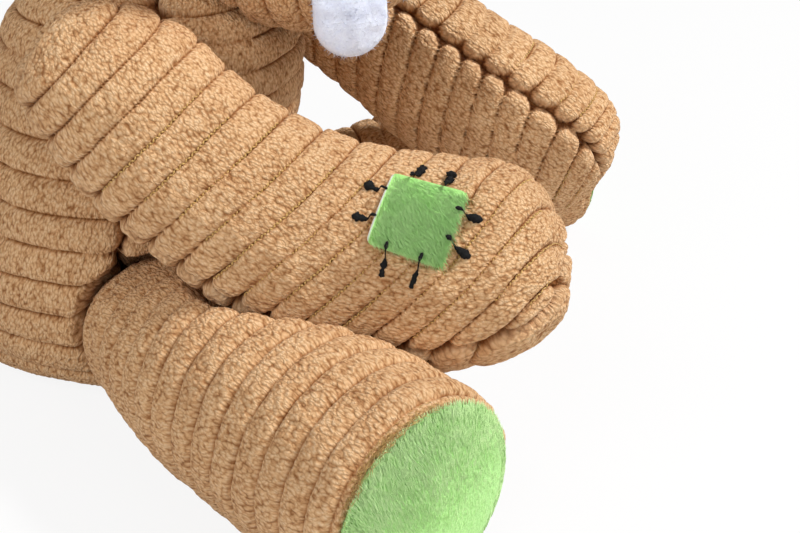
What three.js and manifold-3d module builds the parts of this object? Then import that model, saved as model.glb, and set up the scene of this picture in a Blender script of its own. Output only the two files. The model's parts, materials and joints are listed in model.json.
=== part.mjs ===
// A seated plush toy for a dog, in wide corduroy: torso, head, two arms and two legs are sewn fabric skins
// over fibre filling, with a squeaker in the belly, felt teeth, fur soles and a patch tied on with thread.
// Millimetres. +Z is up, the toy looks along -Y, and the origin is the middle of its flat seat.
import * as THREE from "three";
import Module from "manifold-3d";
import { mergeVertices } from "three/addons/utils/BufferGeometryUtils.js";

const wasm = await Module();
wasm.setup();

// Fabric, gaps and the fineness of the soft forms.
const FABRIC = { wall: 3.4, waleDepth: 1.8, fadeRadius: 9 };
const FIT_GAP = 0.3;
const SEAM_GAP = 0.6;
const SEAT_CUT = 0.5;
const CUT_OVERRUN = 40;
const LIMB_SIDES = 12;
const BODY_SIDES = 16;
const CORE_SIDES = 10;
const CORE_RINGS = 8;
const SLOPE_FADE = 6;
const SMALL_SIDES = 10;
const SMALL_RINGS = 6;
const SQUEAKER_SIDES = 14;
const QUARTER_SHARES = [0, 0.25, 0.5, 0.75, 1];

// The torso stands on its seat, leans forward a little and narrows to a rounded neck.
const TORSO = { height: 138, halfWidth: 62, halfDepth: 55, lean: 22, walePitch: 11, squareness: 2.35 };
// Height, half-width and half-depth, as shares of the torso's height, half-width and half-depth.
const TORSO_OUTLINE_SHARES = [
  [0, 0, 0],
  [0, 0.36, 0.36],
  [0.004, 0.72, 0.72],
  [0.045, 0.9, 0.9],
  [0.14, 0.99, 0.99],
  [0.27, 1, 0.95],
  [0.43, 0.97, 0.86],
  [0.6, 0.84, 0.87],
  [0.74, 0.7, 0.87],
  [0.86, 0.58, 0.74],
  [0.95, 0.42, 0.48],
  [0.992, 0.2, 0.24],
  [1, 0, 0],
];
const NECK = { pivotForward: 16, pivotHeight: 100, opening: 13, openingRise: 20, gap: 2.9 };
const HEAD_NOD = { up: -20, down: 4, steps: 2 };

// The head is a wide skull with a narrower muzzle in front, low between the arms.
const SKULL = { bottom: 122, height: 104, halfWidth: 54, halfDepth: 50, forward: 38, walePitch: 11, squareness: 2.1 };
const SKULL_OUTLINE_SHARES = [
  [0, 0, 0],
  [0.01, 0.2, 0.24],
  [0.05, 0.38, 0.48],
  [0.15, 0.56, 0.72],
  [0.28, 0.78, 0.9],
  [0.42, 0.96, 0.99],
  [0.56, 1, 1],
  [0.72, 0.9, 0.92],
  [0.87, 0.66, 0.7],
  [0.97, 0.32, 0.36],
  [1, 0, 0],
];
const MUZZLE = { start: 37, length: 66, halfWidth: 30, halfHeight: 25, height: 137, walePitch: 10, squareness: 2.1 };
const MUZZLE_OUTLINE_SHARES = [
  [0, 0, 0],
  [0.02, 0.5, 0.5],
  [0.15, 0.85, 0.85],
  [0.4, 1, 1],
  [0.68, 0.97, 0.96],
  [0.88, 0.74, 0.72],
  [0.975, 0.38, 0.36],
  [1, 0, 0],
];

// The arms hang from the shoulders and bend forward to blunt round paws.
const ARM = {
  halfWidth: 28.8,
  halfThickness: 20.5,
  reach: 132,
  pawLength: 18,
  shoulderSide: 56,
  shoulderForward: 28,
  toeIn: 2.8,
  walePitch: 9,
  waleSlopeShare: 0.42,
  squareness: 2.1,
  sewnOpening: 9,
  fanReach: 45,
};
const ARM_OUTLINE_SHARES = [
  [0, 0],
  [0.012, 0.33],
  [0.045, 0.56],
  [0.11, 0.815],
  [0.22, 0.9],
  [0.45, 0.97],
  [0.7, 1.07],
  [0.86, 1],
  [0.94, 0.82],
  [0.985, 0.5],
  [1, 0],
];
// The right arm sags onto its leg, and the left one is sewn a little higher and hangs straighter.
const ARM_POSE = {
  right: { shoulderHeight: 119, rootLength: 13.5, root: 60, paw: -10, panelTurn: 38 },
  left: { shoulderHeight: 126, rootLength: 10, root: 35, paw: 30, panelTurn: 16 },
};
// The shoulder's hinge slopes down outward, so a lifted arm also spreads.
const ARM_SWING = { lift: -40, hingeSlope: 18, roomGap: 1, rootGap: 5.5, rootSquareness: 2.8 };

// The legs lie forward on the floor, spread apart, and end in round fur soles.
const LEG = {
  footRadius: 31.4,
  reach: 113,
  edgeRound: 4,
  hipSide: 55.5,
  hipForward: 39,
  splay: 31,
  walePitch: 9,
  squareness: 2,
};
// The left leg is pinched lower and narrower at its root. Its rows, like the right one's, are the distance from
// the hip and the growth from root to foot radius, as shares of the reach and of that growth.
const LEG_POSE = {
  right: { rootRadius: 24, hipHeight: 29, outlineShares: [[0, 0], [0.12, 0.45], [0.3, 0.87], [0.55, 1], [0.86, 1]] },
  left: { rootRadius: 19, hipHeight: 21, outlineShares: [[0, 0], [0.12, 0.12], [0.3, 0.4], [0.55, 0.8], [0.86, 1]] },
};
const LEG_SPREAD = { outward: 28, roomSwing: 7, roomRows: 4, roomGap: 0.8 };
// The arm rests in a hollow of the leg, which also clears it as the leg spreads and as the arm starts to lift.
const ARM_REST = { steps: 4, gap: 1.3, sweepGap: 1.7, lift: -4.5 };
const SOLE = { thickness: 5, dome: 2.2, rim: 2.6, shoulderShare: 0.8 };

// The squeaker is a round bulb with a reed plug, in a pocket that opens at the front of the belly filling.
const SQUEAKER = {
  radius: 20,
  halfThickness: 11,
  forward: 20,
  wall: 1.6,
  height: 46,
  plugRadius: 5,
  plugLength: 9,
  plugBore: 3,
  flangeWidth: 2.5,
  flangeThickness: 1.2,
  reedThickness: 0.8,
};

const EYE = { radius: 6.5, dome: 5, inset: 1, side: 17, height: 178 };
const NOSE = { halfWidth: 11, halfHeight: 8, halfDepth: 8, inset: 3, height: 150 };
// The ears' middles lie a little under the top of the skull.
const EAR = { halfWidth: 19, halfHeight: 21, halfThickness: 5.5, side: 42, sink: 10, forward: 36, tilt: 32 };
const EAR_LINING = { share: 0.66, thickness: 1.6 };
const TOOTH = { width: 21, length: 26, thickness: 3, bearing: 60, side: 24, forward: 89, top: 139, lean: 8 };

// The patch lies on the upper outer side of the right arm, nearly square to it.
const PATCH = { size: 21, thickness: 2.2, along: 109.5, around: 160, turn: -9 };
const STITCH = { length: 7, width: 1.8, proud: 1.1, edgeShare: 0.21, overlapShare: 0.3 };

const COLOURS = {
  corduroy: 0xc99a66,
  filling: 0xf2efe8,
  fur: 0x5fc04a,
  felt: 0xd9d9f4,
  thread: 0x16161c,
  black: 0x1b1a1c,
  vinyl: 0xe9e6dc,
};

function clothMaterial(color) {
  return new THREE.MeshStandardMaterial({ color, roughness: 0.95, metalness: 0 });
}

function mouldedMaterial(color) {
  return new THREE.MeshStandardMaterial({ color, roughness: 0.4, metalness: 0 });
}

const xAxis = new THREE.Vector3(1, 0, 0);
const yAxis = new THREE.Vector3(0, 1, 0);
const zAxis = new THREE.Vector3(0, 0, 1);

// Closed meshes as solids, and back.
function solidOf(geometry) {
  geometry.deleteAttribute("normal");
  geometry.deleteAttribute("uv");
  const merged = mergeVertices(geometry);
  const mesh = { numProp: 3, vertProperties: merged.attributes.position.array, triVerts: merged.index.array };
  return new wasm.Manifold(new wasm.Mesh(mesh));
}

function geometryOf(solid) {
  const mesh = solid.getMesh();
  const geometry = new THREE.BufferGeometry();
  geometry.setAttribute("position", new THREE.BufferAttribute(mesh.vertProperties, 3));
  geometry.setIndex(new THREE.BufferAttribute(mesh.triVerts, 1));
  geometry.computeVertexNormals();
  return geometry;
}

const part = new THREE.Group();

function addPiece(name, solid, material) {
  const mesh = new THREE.Mesh(geometryOf(solid), material);
  mesh.name = name;
  part.add(mesh);
}

// A soft form is a stack of oval rings along a path. Its outline has places along the path and half-widths.
// Options: waled gives the ridges of the cloth, fine the same rings without ridges, and neither a plain form.
function stationsOf(form, growth, { waled = false, fine = waled } = {}) {
  const curve = new THREE.CatmullRomCurve3(form.outline, false, "centripetal");
  const count = fine ? 2 * Math.round(curve.getLength() / form.walePitch) : CORE_RINGS;
  const spaced = curve.getSpacedPoints(count);
  return spaced.map((point, index) => {
    const before = spaced[Math.max(index - 1, 0)];
    const after = spaced[Math.min(index + 1, count)];
    const widening = (after.y + after.z - before.y - before.z) / 2;
    const step = new THREE.Vector2(after.x - before.x, widening).normalize();
    const fade = Math.min((point.y + point.z) / 2 / FABRIC.fadeRadius, 1);
    const groove = waled && index % 2 === 1 ? FABRIC.waleDepth * fade : 0;
    const offset = growth - groove;
    return {
      along: point.x - step.y * offset,
      halfSide: Math.max(point.y + step.x * offset, 0),
      halfUp: Math.max(point.z + step.x * offset, 0),
    };
  });
}

function slopeOf(form, along) {
  const start = form.outline[0].x;
  const share = (along - start) / (form.outline[form.outline.length - 1].x - start);
  return (form.slopeShare ?? 0) * Math.max(0, Math.min(1, SLOPE_FADE * share * (1 - share)));
}

function ringOf(form, station, sides) {
  const points = [];
  for (let i = 0; i < sides; i += 1) {
    const angle = (2 * Math.PI * i) / sides;
    const c = Math.cos(angle);
    const s = Math.sin(angle);
    const power = form.squareness;
    const swell = (Math.abs(c) ** power + Math.abs(s) ** power) ** (-1 / power);
    const side = station.halfSide * c * swell;
    const up = station.halfUp * s * swell;
    const place = form.place(station.along + slopeOf(form, station.along) * up);
    points.push(place.centre.clone().addScaledVector(place.side, side).addScaledVector(place.up, up));
  }
  return points;
}

function closedStack(rings, start, end) {
  const sides = rings[0].length;
  const vertices = [start, ...rings.flat(), end];
  const last = vertices.length - 1;
  const faces = [];
  for (let i = 0; i < sides; i += 1) {
    const next = (i + 1) % sides;
    faces.push(0, 1 + next, 1 + i);
    for (let r = 0; r < rings.length - 1; r += 1) {
      const low = 1 + r * sides;
      const high = low + sides;
      faces.push(low + i, low + next, high + next, low + i, high + next, high + i);
    }
    const top = 1 + (rings.length - 1) * sides;
    faces.push(last, top + i, top + next);
  }
  const geometry = new THREE.BufferGeometry();
  const values = new Float32Array(vertices.flatMap((vertex) => vertex.toArray()));
  geometry.setAttribute("position", new THREE.BufferAttribute(values, 3));
  geometry.setIndex(faces);
  return geometry;
}

// A flat start or end is one face, so the stations on it keep no ring but the outermost.
function softGeometry(form, growth, options = {}) {
  const stations = stationsOf(form, growth, options);
  const last = stations.length - 1;
  const onStart = (station) => form.flatStart && station && station.along < stations[0].along + SEAT_CUT;
  const onEnd = (station) => form.flatEnd && station && station.along > stations[last].along - SEAT_CUT;
  const kept = stations.filter((station, index) => {
    const inStart = onStart(station) && onStart(stations[index + 1]);
    const inEnd = onEnd(station) && onEnd(stations[index - 1]);
    return index > 0 && index < last && !inStart && !inEnd;
  });
  const sides = options.waled || options.fine || options.even ? form.sides : CORE_SIDES;
  const rings = kept.map((station) => ringOf(form, station, sides));
  return closedStack(rings, form.place(stations[0].along).centre, form.place(stations[last].along).centre);
}

function softSolid(form, growth, options) {
  return solidOf(softGeometry(form, growth, options));
}

function turned(origin, across, depth, upward) {
  return new THREE.Matrix4().makeBasis(across, depth, upward).setPosition(origin);
}

function turnedAbout(centre, axis, degrees) {
  const turn = new THREE.Matrix4().makeRotationAxis(axis, THREE.MathUtils.degToRad(degrees));
  const back = new THREE.Matrix4().makeTranslation(centre.clone().negate());
  return new THREE.Matrix4().makeTranslation(centre).multiply(turn).multiply(back);
}

function joined(solids) {
  return solids.reduce((whole, solid) => whole.add(solid));
}

function outlinePoints(shares, length, halfSide, halfUp, start = 0) {
  return shares.map(([along, side, up = side]) => {
    return new THREE.Vector3(start + along * length, side * halfSide, up * halfUp);
  });
}

function quarterOval(radius, depth, squareness = 2) {
  return QUARTER_SHARES.map((quarterShare) => {
    const angle = (quarterShare * Math.PI) / 2;
    const power = 2 / squareness;
    return [radius * Math.sin(angle) ** power, -depth * Math.max(Math.cos(angle), 0) ** power];
  });
}

// Forms of the torso and the head.
const torsoForm = {
  outline: outlinePoints(TORSO_OUTLINE_SHARES, TORSO.height, TORSO.halfWidth, TORSO.halfDepth),
  walePitch: TORSO.walePitch,
  squareness: TORSO.squareness,
  sides: BODY_SIDES,
  flatStart: true,
  place: (along) => ({
    centre: new THREE.Vector3(0, (-TORSO.lean * along) / TORSO.height, along - SEAT_CUT),
    side: xAxis,
    up: yAxis,
  }),
};

const skullForm = {
  outline: outlinePoints(SKULL_OUTLINE_SHARES, SKULL.height, SKULL.halfWidth, SKULL.halfDepth),
  walePitch: SKULL.walePitch,
  squareness: SKULL.squareness,
  sides: BODY_SIDES,
  place: (along) => ({
    centre: new THREE.Vector3(0, -SKULL.forward, SKULL.bottom + along),
    side: xAxis,
    up: yAxis,
  }),
};

const muzzleForm = {
  outline: outlinePoints(MUZZLE_OUTLINE_SHARES, MUZZLE.length, MUZZLE.halfWidth, MUZZLE.halfHeight),
  walePitch: MUZZLE.walePitch,
  squareness: MUZZLE.squareness,
  sides: LIMB_SIDES,
  place: (along) => ({
    centre: new THREE.Vector3(0, -MUZZLE.start - along, MUZZLE.height),
    side: xAxis,
    up: zAxis,
  }),
};

// An arm follows an arc from its steep root to its level paw. Side is -1 on the right and +1 on the left.
function armPose(side) {
  return side < 0 ? ARM_POSE.right : ARM_POSE.left;
}

function shoulderCentre(side) {
  return new THREE.Vector3(side * ARM.shoulderSide, -ARM.shoulderForward, armPose(side).shoulderHeight);
}

function shoulderOutward(side) {
  const slope = THREE.MathUtils.degToRad(ARM_SWING.hingeSlope);
  return new THREE.Vector3(side * Math.cos(slope), 0, -Math.sin(slope));
}

function armForm(side) {
  const { rootLength, root, paw, panelTurn } = armPose(side);
  const rootPitch = THREE.MathUtils.degToRad(root);
  const bend = THREE.MathUtils.degToRad(root - paw) / ARM.reach;
  const toeIn = THREE.MathUtils.degToRad(ARM.toeIn);
  const turn = THREE.MathUtils.degToRad(panelTurn);
  const forward = new THREE.Vector3(-side * Math.sin(toeIn), -Math.cos(toeIn), 0);
  const outward = new THREE.Vector3(side * Math.cos(toeIn), -Math.sin(toeIn), 0);
  const length = rootLength + ARM.reach + ARM.pawLength;
  return {
    outline: outlinePoints(ARM_OUTLINE_SHARES, length, ARM.halfThickness, ARM.halfWidth, -rootLength),
    walePitch: ARM.walePitch,
    slopeShare: ARM.waleSlopeShare,
    squareness: ARM.squareness,
    sides: LIMB_SIDES,
    place: (along) => {
      const pitch = rootPitch - bend * along;
      const run = (Math.sin(rootPitch) - Math.sin(pitch)) / bend;
      const drop = (Math.cos(pitch) - Math.cos(rootPitch)) / bend;
      const centre = shoulderCentre(side).addScaledVector(forward, run);
      centre.z -= drop;
      const tangent = forward.clone().multiplyScalar(Math.cos(pitch));
      tangent.z -= Math.sin(pitch);
      const level = forward.clone().multiplyScalar(Math.sin(pitch));
      level.z += Math.cos(pitch);
      const up = level.multiplyScalar(Math.cos(turn)).addScaledVector(outward, -Math.sin(turn));
      return { centre, side: new THREE.Vector3().crossVectors(up, tangent), up };
    },
  };
}

// A leg runs straight from its hip ball to its flat fur sole.
function legPose(side) {
  return side < 0 ? LEG_POSE.right : LEG_POSE.left;
}

function hipCentre(side) {
  return new THREE.Vector3(side * LEG.hipSide, -LEG.hipForward, legPose(side).hipHeight);
}

function legFrame(side) {
  const splay = THREE.MathUtils.degToRad(LEG.splay);
  const rise = (LEG.footRadius - SEAT_CUT - legPose(side).hipHeight) / LEG.reach;
  const tangent = new THREE.Vector3(side * Math.sin(splay), -Math.cos(splay), rise).normalize();
  const across = new THREE.Vector3().crossVectors(tangent, zAxis).normalize();
  return { tangent, across, up: new THREE.Vector3().crossVectors(across, tangent) };
}

function legShank(side) {
  const { rootRadius, outlineShares } = legPose(side);
  return outlineShares.map(([along, growth]) => {
    return [rootRadius + growth * (LEG.footRadius - rootRadius), along * LEG.reach];
  });
}

function legOutline(side) {
  const { rootRadius } = legPose(side);
  const ball = quarterOval(rootRadius, rootRadius).slice(0, -1);
  const shank = [...ball, ...legShank(side)].map(([radius, along]) => new THREE.Vector3(along, radius, 0));
  const foot = [
    new THREE.Vector3(LEG.reach - LEG.edgeRound, LEG.footRadius, 0),
    new THREE.Vector3(LEG.reach, LEG.footRadius - LEG.edgeRound, 0),
    new THREE.Vector3(LEG.reach, 0, 0),
  ];
  const points = [...shank, ...foot];
  points.forEach((point) => {
    point.z = point.y;
  });
  return points;
}

function legForm(side) {
  const { tangent, across, up } = legFrame(side);
  return {
    outline: legOutline(side),
    walePitch: LEG.walePitch,
    squareness: LEG.squareness,
    sides: LIMB_SIDES,
    flatEnd: true,
    place: (along) => ({
      centre: hipCentre(side).addScaledVector(tangent, along),
      side: new THREE.Vector3().crossVectors(up, tangent),
      up,
    }),
  };
}

// Cuts and clearances shared by the sewn pieces.
const LINING = FABRIC.wall + FABRIC.waleDepth;

function floorBox() {
  const span = 2 * (TORSO.halfWidth + ARM.reach + LEG.reach);
  const depth = CUT_OVERRUN;
  return solidOf(new THREE.BoxGeometry(span, span, depth).translate(0, 0, -depth / 2));
}

function spunSolid(profile, sides, matrix) {
  const points = profile.map(([radius, along]) => new THREE.Vector2(radius, along));
  return solidOf(new THREE.LatheGeometry(points, sides).applyMatrix4(matrix));
}

function rodProfile(radius, from, to) {
  return [[0, from], [radius, from], [radius, to], [0, to]];
}

// The rod's own axis is Y, so this lays it along any direction from an origin.
function alongAxis(origin, direction) {
  const turn = new THREE.Quaternion().setFromUnitVectors(yAxis, direction);
  return new THREE.Matrix4().compose(origin, turn, new THREE.Vector3(1, 1, 1));
}

// Room in the torso for an arm: its round root at every angle, and the fan that its upper part swings in.
function armRoom(side, growth) {
  const turn = THREE.MathUtils.degToRad(armPose(side).panelTurn + ARM_SWING.hingeSlope);
  const inner = Math.hypot(ARM.halfWidth * Math.sin(turn), ARM.halfThickness * Math.cos(turn)) + growth;
  const outer = ARM.halfWidth + CUT_OVERRUN;
  const radius = ARM.halfWidth + growth + ARM_SWING.rootGap;
  const bowl = [...quarterOval(radius, inner, ARM_SWING.rootSquareness), [radius, outer], [0, outer]];
  const root = spunSolid(bowl, BODY_SIDES, alongAxis(shoulderCentre(side), shoulderOutward(side)));
  const reach = ARM.fanReach;
  const spread = Math.atan2(radius, reach);
  const low = THREE.MathUtils.degToRad(armPose(side).root);
  const high = low + THREE.MathUtils.degToRad(ARM_SWING.lift);
  const fan = new THREE.Shape();
  fan.moveTo(-radius * Math.sin(low), -radius * Math.cos(low));
  fan.absarc(0, 0, Math.hypot(radius, reach), -low - spread, spread - high, false);
  fan.lineTo(radius * Math.sin(high), radius * Math.cos(high));
  fan.closePath();
  const depth = outer + inner;
  const plate = new THREE.ExtrudeGeometry(fan, { depth, bevelEnabled: false, curveSegments: SMALL_RINGS });
  plate.translate(0, 0, side < 0 ? -inner : -outer);
  const forward = new THREE.Vector3(0, -1, 0);
  const sideways = shoulderOutward(side).multiplyScalar(-side);
  const upward = new THREE.Vector3().crossVectors(sideways, forward);
  return root.add(solidOf(plate.applyMatrix4(turned(shoulderCentre(side), forward, upward, sideways))));
}

// Room for a leg: its hip ball, and the wider cone that its upper part swings through.
function legRoom(side, growth) {
  const { tangent } = legFrame(side);
  const swing = THREE.MathUtils.degToRad(LEG_SPREAD.roomSwing);
  const rootRadius = legPose(side).rootRadius + growth;
  const ball = quarterOval(rootRadius, rootRadius);
  const cone = legShank(side).slice(1, LEG_SPREAD.roomRows).map(([radius, along]) => {
    return [radius + growth + along * Math.sin(swing), along];
  });
  const end = cone[cone.length - 1][1];
  return spunSolid([...ball, ...cone, [0, end]], BODY_SIDES, alongAxis(hipCentre(side), tangent));
}

function limbRooms(growth) {
  return joined([-1, 1].flatMap((side) => {
    return [armRoom(side, growth + ARM_SWING.roomGap), legRoom(side, growth + LEG_SPREAD.roomGap)];
  }));
}

// Room on a leg for the arm that rests on it: spreading the leg is turning the arm back above it.
function restRoom(side, growth) {
  const near = softGeometry(armForm(side), growth + ARM_REST.gap, { even: true });
  const hinge = shoulderOutward(side).multiplyScalar(side);
  const lifted = turnedAbout(shoulderCentre(side), hinge, ARM_REST.lift);
  const copies = [solidOf(near.clone().applyMatrix4(lifted)), solidOf(near)];
  for (let i = 1; i <= ARM_REST.steps; i += 1) {
    const turn = turnedAbout(hipCentre(side), zAxis, (-side * LEG_SPREAD.outward * i) / ARM_REST.steps);
    const swept = softGeometry(armForm(side), growth + ARM_REST.sweepGap, { even: true });
    copies.push(solidOf(swept.applyMatrix4(turn)));
  }
  return joined(copies);
}

// Room in the head for the neck at every nod: nodding the head is turning the torso back inside it.
function neckPivot() {
  return new THREE.Vector3(0, -NECK.pivotForward, NECK.pivotHeight);
}

function neckRoom(growth) {
  const copies = [];
  for (let i = 0; i <= HEAD_NOD.steps; i += 1) {
    const nod = HEAD_NOD.up + ((HEAD_NOD.down - HEAD_NOD.up) * i) / HEAD_NOD.steps;
    copies.push(solidOf(softGeometry(torsoForm, growth).applyMatrix4(turnedAbout(neckPivot(), xAxis, -nod))));
  }
  return joined(copies);
}

function neckOpening() {
  const profile = rodProfile(NECK.opening, 0, TORSO.height - NECK.pivotHeight + NECK.openingRise);
  return spunSolid(profile, SMALL_SIDES, alongAxis(neckPivot(), zAxis));
}

// The squeaker stands in the belly with its plug to the back.
function squeakerPlace() {
  const origin = new THREE.Vector3(0, -SQUEAKER.forward, SQUEAKER.height);
  return alongAxis(origin, yAxis);
}

function squeakerPocket() {
  const back = SQUEAKER.halfThickness + SQUEAKER.flangeThickness + 2 * FIT_GAP;
  const profile = rodProfile(SQUEAKER.radius + FIT_GAP, -TORSO.halfDepth - CUT_OVERRUN, back);
  return spunSolid(profile, SQUEAKER_SIDES, squeakerPlace());
}

function addSqueaker() {
  const { radius, halfThickness, wall, plugRadius, plugLength, plugBore } = SQUEAKER;
  const hole = plugRadius + FIT_GAP;
  const corner = halfThickness / 2;
  const inner = radius - wall;
  const bulb = [
    [0, -halfThickness], [radius - corner, -halfThickness], [radius, -corner], [radius, corner],
    [radius - corner, halfThickness], [hole, halfThickness], [hole, halfThickness - wall],
    [radius - corner, halfThickness - wall], [inner, corner], [inner, -corner],
    [radius - corner, wall - halfThickness], [0, wall - halfThickness],
  ];
  addPiece("squeaker_bulb", spunSolid(bulb, SQUEAKER_SIDES, squeakerPlace()), mouldedMaterial(COLOURS.vinyl));
  const seat = halfThickness + FIT_GAP;
  const rim = seat + SQUEAKER.flangeThickness;
  const plug = [
    [plugBore, rim - plugLength], [plugRadius, rim - plugLength], [plugRadius, seat],
    [plugRadius + SQUEAKER.flangeWidth, seat], [plugRadius + SQUEAKER.flangeWidth, rim], [plugBore, rim],
    [plugBore, rim - plugLength],
  ];
  addPiece("squeaker_plug", spunSolid(plug, SMALL_SIDES, squeakerPlace()), mouldedMaterial(COLOURS.vinyl));
  const middle = rim - plugLength / 2;
  const reed = rodProfile(plugBore - FIT_GAP, middle, middle + SQUEAKER.reedThickness);
  addPiece("squeaker_reed", spunSolid(reed, SMALL_SIDES, squeakerPlace()), mouldedMaterial(COLOURS.black));
}

function addTorso() {
  const outer = softSolid(torsoForm, 0, { waled: true }).subtract(limbRooms(SEAM_GAP)).subtract(floorBox());
  const hollow = softSolid(torsoForm, -LINING).subtract(limbRooms(SEAM_GAP + FABRIC.wall));
  addPiece("torso_skin", outer.subtract(hollow).subtract(neckOpening()), clothMaterial(COLOURS.corduroy));
  const rooms = limbRooms(SEAM_GAP + FABRIC.wall + FIT_GAP);
  const filling = softSolid(torsoForm, -LINING - FIT_GAP).subtract(rooms).subtract(squeakerPocket());
  addPiece("torso_filling", filling, clothMaterial(COLOURS.filling));
}

function headSolid(growth, options) {
  return softSolid(skullForm, growth, options).add(softSolid(muzzleForm, growth, options));
}

function addHead() {
  const outer = headSolid(0, { waled: true }).subtract(neckRoom(NECK.gap));
  const hollow = headSolid(-LINING).subtract(neckRoom(NECK.gap + FABRIC.wall));
  addPiece("head_skin", outer.subtract(hollow).subtract(neckOpening()), clothMaterial(COLOURS.corduroy));
  const filling = headSolid(-LINING - FIT_GAP).subtract(neckRoom(NECK.gap + FABRIC.wall + FIT_GAP));
  addPiece("head_filling", filling, clothMaterial(COLOURS.filling));
}

// A pebble is an ellipsoid from a unit ball.
function pebble(origin, across, depth, upward, halfWidth, halfDepth, halfHeight) {
  const ball = new THREE.SphereGeometry(1, SMALL_SIDES, SMALL_RINGS);
  const size = new THREE.Vector3(halfWidth, halfDepth, halfHeight);
  const basis = turned(origin, across, depth, upward).scale(size);
  return solidOf(ball.applyMatrix4(basis));
}

function skullFront(height) {
  const share = (height - SKULL.bottom) / SKULL.height;
  const rows = SKULL_OUTLINE_SHARES;
  const above = rows.findIndex((row) => row[0] >= share);
  const [lowAlong, , low] = rows[above - 1];
  const [highAlong, , high] = rows[above];
  const depth = low + ((high - low) * (share - lowAlong)) / (highAlong - lowAlong);
  return -SKULL.forward - depth * SKULL.halfDepth;
}

function addFace() {
  const clear = headSolid(FIT_GAP, { fine: true });
  for (const [name, side] of [["right", -1], ["left", 1]]) {
    const origin = new THREE.Vector3(side * EYE.side, skullFront(EYE.height) + EYE.inset, EYE.height);
    const eye = pebble(origin, xAxis, yAxis, zAxis, EYE.radius, EYE.dome, EYE.radius);
    addPiece(`${name}_eye`, eye.subtract(clear), mouldedMaterial(COLOURS.black));
  }
  const tip = new THREE.Vector3(0, -MUZZLE.start - MUZZLE.length + NOSE.inset, NOSE.height);
  const nose = pebble(tip, xAxis, yAxis, zAxis, NOSE.halfWidth, NOSE.halfDepth, NOSE.halfHeight);
  addPiece("nose", nose.subtract(clear), clothMaterial(COLOURS.black));
}

function addEars() {
  const clear = headSolid(FIT_GAP, { fine: true });
  for (const [name, side] of [["right", -1], ["left", 1]]) {
    const tilt = THREE.MathUtils.degToRad(EAR.tilt) * side;
    const across = new THREE.Vector3(Math.cos(tilt), 0, -Math.sin(tilt));
    const upward = new THREE.Vector3(Math.sin(tilt), 0, Math.cos(tilt));
    const origin = new THREE.Vector3(side * EAR.side, -EAR.forward, SKULL.bottom + SKULL.height - EAR.sink);
    const ear = pebble(origin, across, yAxis, upward, EAR.halfWidth, EAR.halfThickness, EAR.halfHeight);
    addPiece(`${name}_ear`, ear.subtract(clear), clothMaterial(COLOURS.corduroy));
    const [width, depth, height] = [EAR.halfWidth, EAR.halfThickness, EAR.halfHeight].map((half) => half + FIT_GAP);
    const share = EAR_LINING.share;
    const cover = pebble(origin, across, yAxis, upward, width * share, depth + EAR_LINING.thickness, height * share);
    const bare = pebble(origin, across, yAxis, upward, width, depth, height);
    const behind = new THREE.BoxGeometry(2 * CUT_OVERRUN, CUT_OVERRUN, 2 * CUT_OVERRUN);
    behind.translate(0, CUT_OVERRUN / 2, 0).applyMatrix4(turned(origin, across, yAxis, upward));
    const lining = cover.subtract(bare).subtract(solidOf(behind)).subtract(clear);
    addPiece(`${name}_ear_lining`, lining, clothMaterial(COLOURS.fur));
  }
}

// A tooth is a U of felt that hangs from the lip on one side of the muzzle.
function toothFrame(side) {
  const bearing = THREE.MathUtils.degToRad(TOOTH.bearing);
  const lean = THREE.MathUtils.degToRad(TOOTH.lean);
  const outward = new THREE.Vector3(side * Math.sin(bearing), -Math.cos(bearing), 0);
  const across = new THREE.Vector3().crossVectors(outward, zAxis);
  const down = new THREE.Vector3(0, 0, -Math.cos(lean)).addScaledVector(outward, Math.sin(lean));
  const normal = new THREE.Vector3().crossVectors(across, down);
  const origin = new THREE.Vector3(side * TOOTH.side, -TOOTH.forward, TOOTH.top);
  return { origin, across, down, normal };
}

function addTeeth() {
  const clear = headSolid(FIT_GAP, { fine: true });
  for (const [name, side] of [["right", -1], ["left", 1]]) {
    const { origin, across, down, normal } = toothFrame(side);
    const half = TOOTH.width / 2;
    const outline = new THREE.Shape();
    outline.moveTo(-half, 0);
    outline.lineTo(-half, TOOTH.length - half);
    outline.absarc(0, TOOTH.length - half, half, Math.PI, 0, true);
    outline.lineTo(half, 0);
    outline.closePath();
    const plate = new THREE.ExtrudeGeometry(outline, {
      depth: TOOTH.thickness, bevelEnabled: false, curveSegments: SMALL_SIDES,
    });
    plate.translate(0, 0, -TOOTH.thickness / 2);
    const solid = solidOf(plate.applyMatrix4(turned(origin, across, down, normal)));
    addPiece(`${name}_tooth`, solid.subtract(clear), clothMaterial(COLOURS.felt));
  }
}

function addArm(name, side) {
  const form = armForm(side);
  const place = alongAxis(shoulderCentre(side), new THREE.Vector3(-side, 0, 0));
  const opening = spunSolid(rodProfile(ARM.sewnOpening, 0, CUT_OVERRUN), SMALL_SIDES, place);
  const skin = softSolid(form, 0, { waled: true }).subtract(softSolid(form, -LINING)).subtract(opening);
  addPiece(`${name}_arm_skin`, skin, clothMaterial(COLOURS.corduroy));
  addPiece(`${name}_arm_filling`, softSolid(form, -LINING - FIT_GAP), clothMaterial(COLOURS.filling));
}

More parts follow.
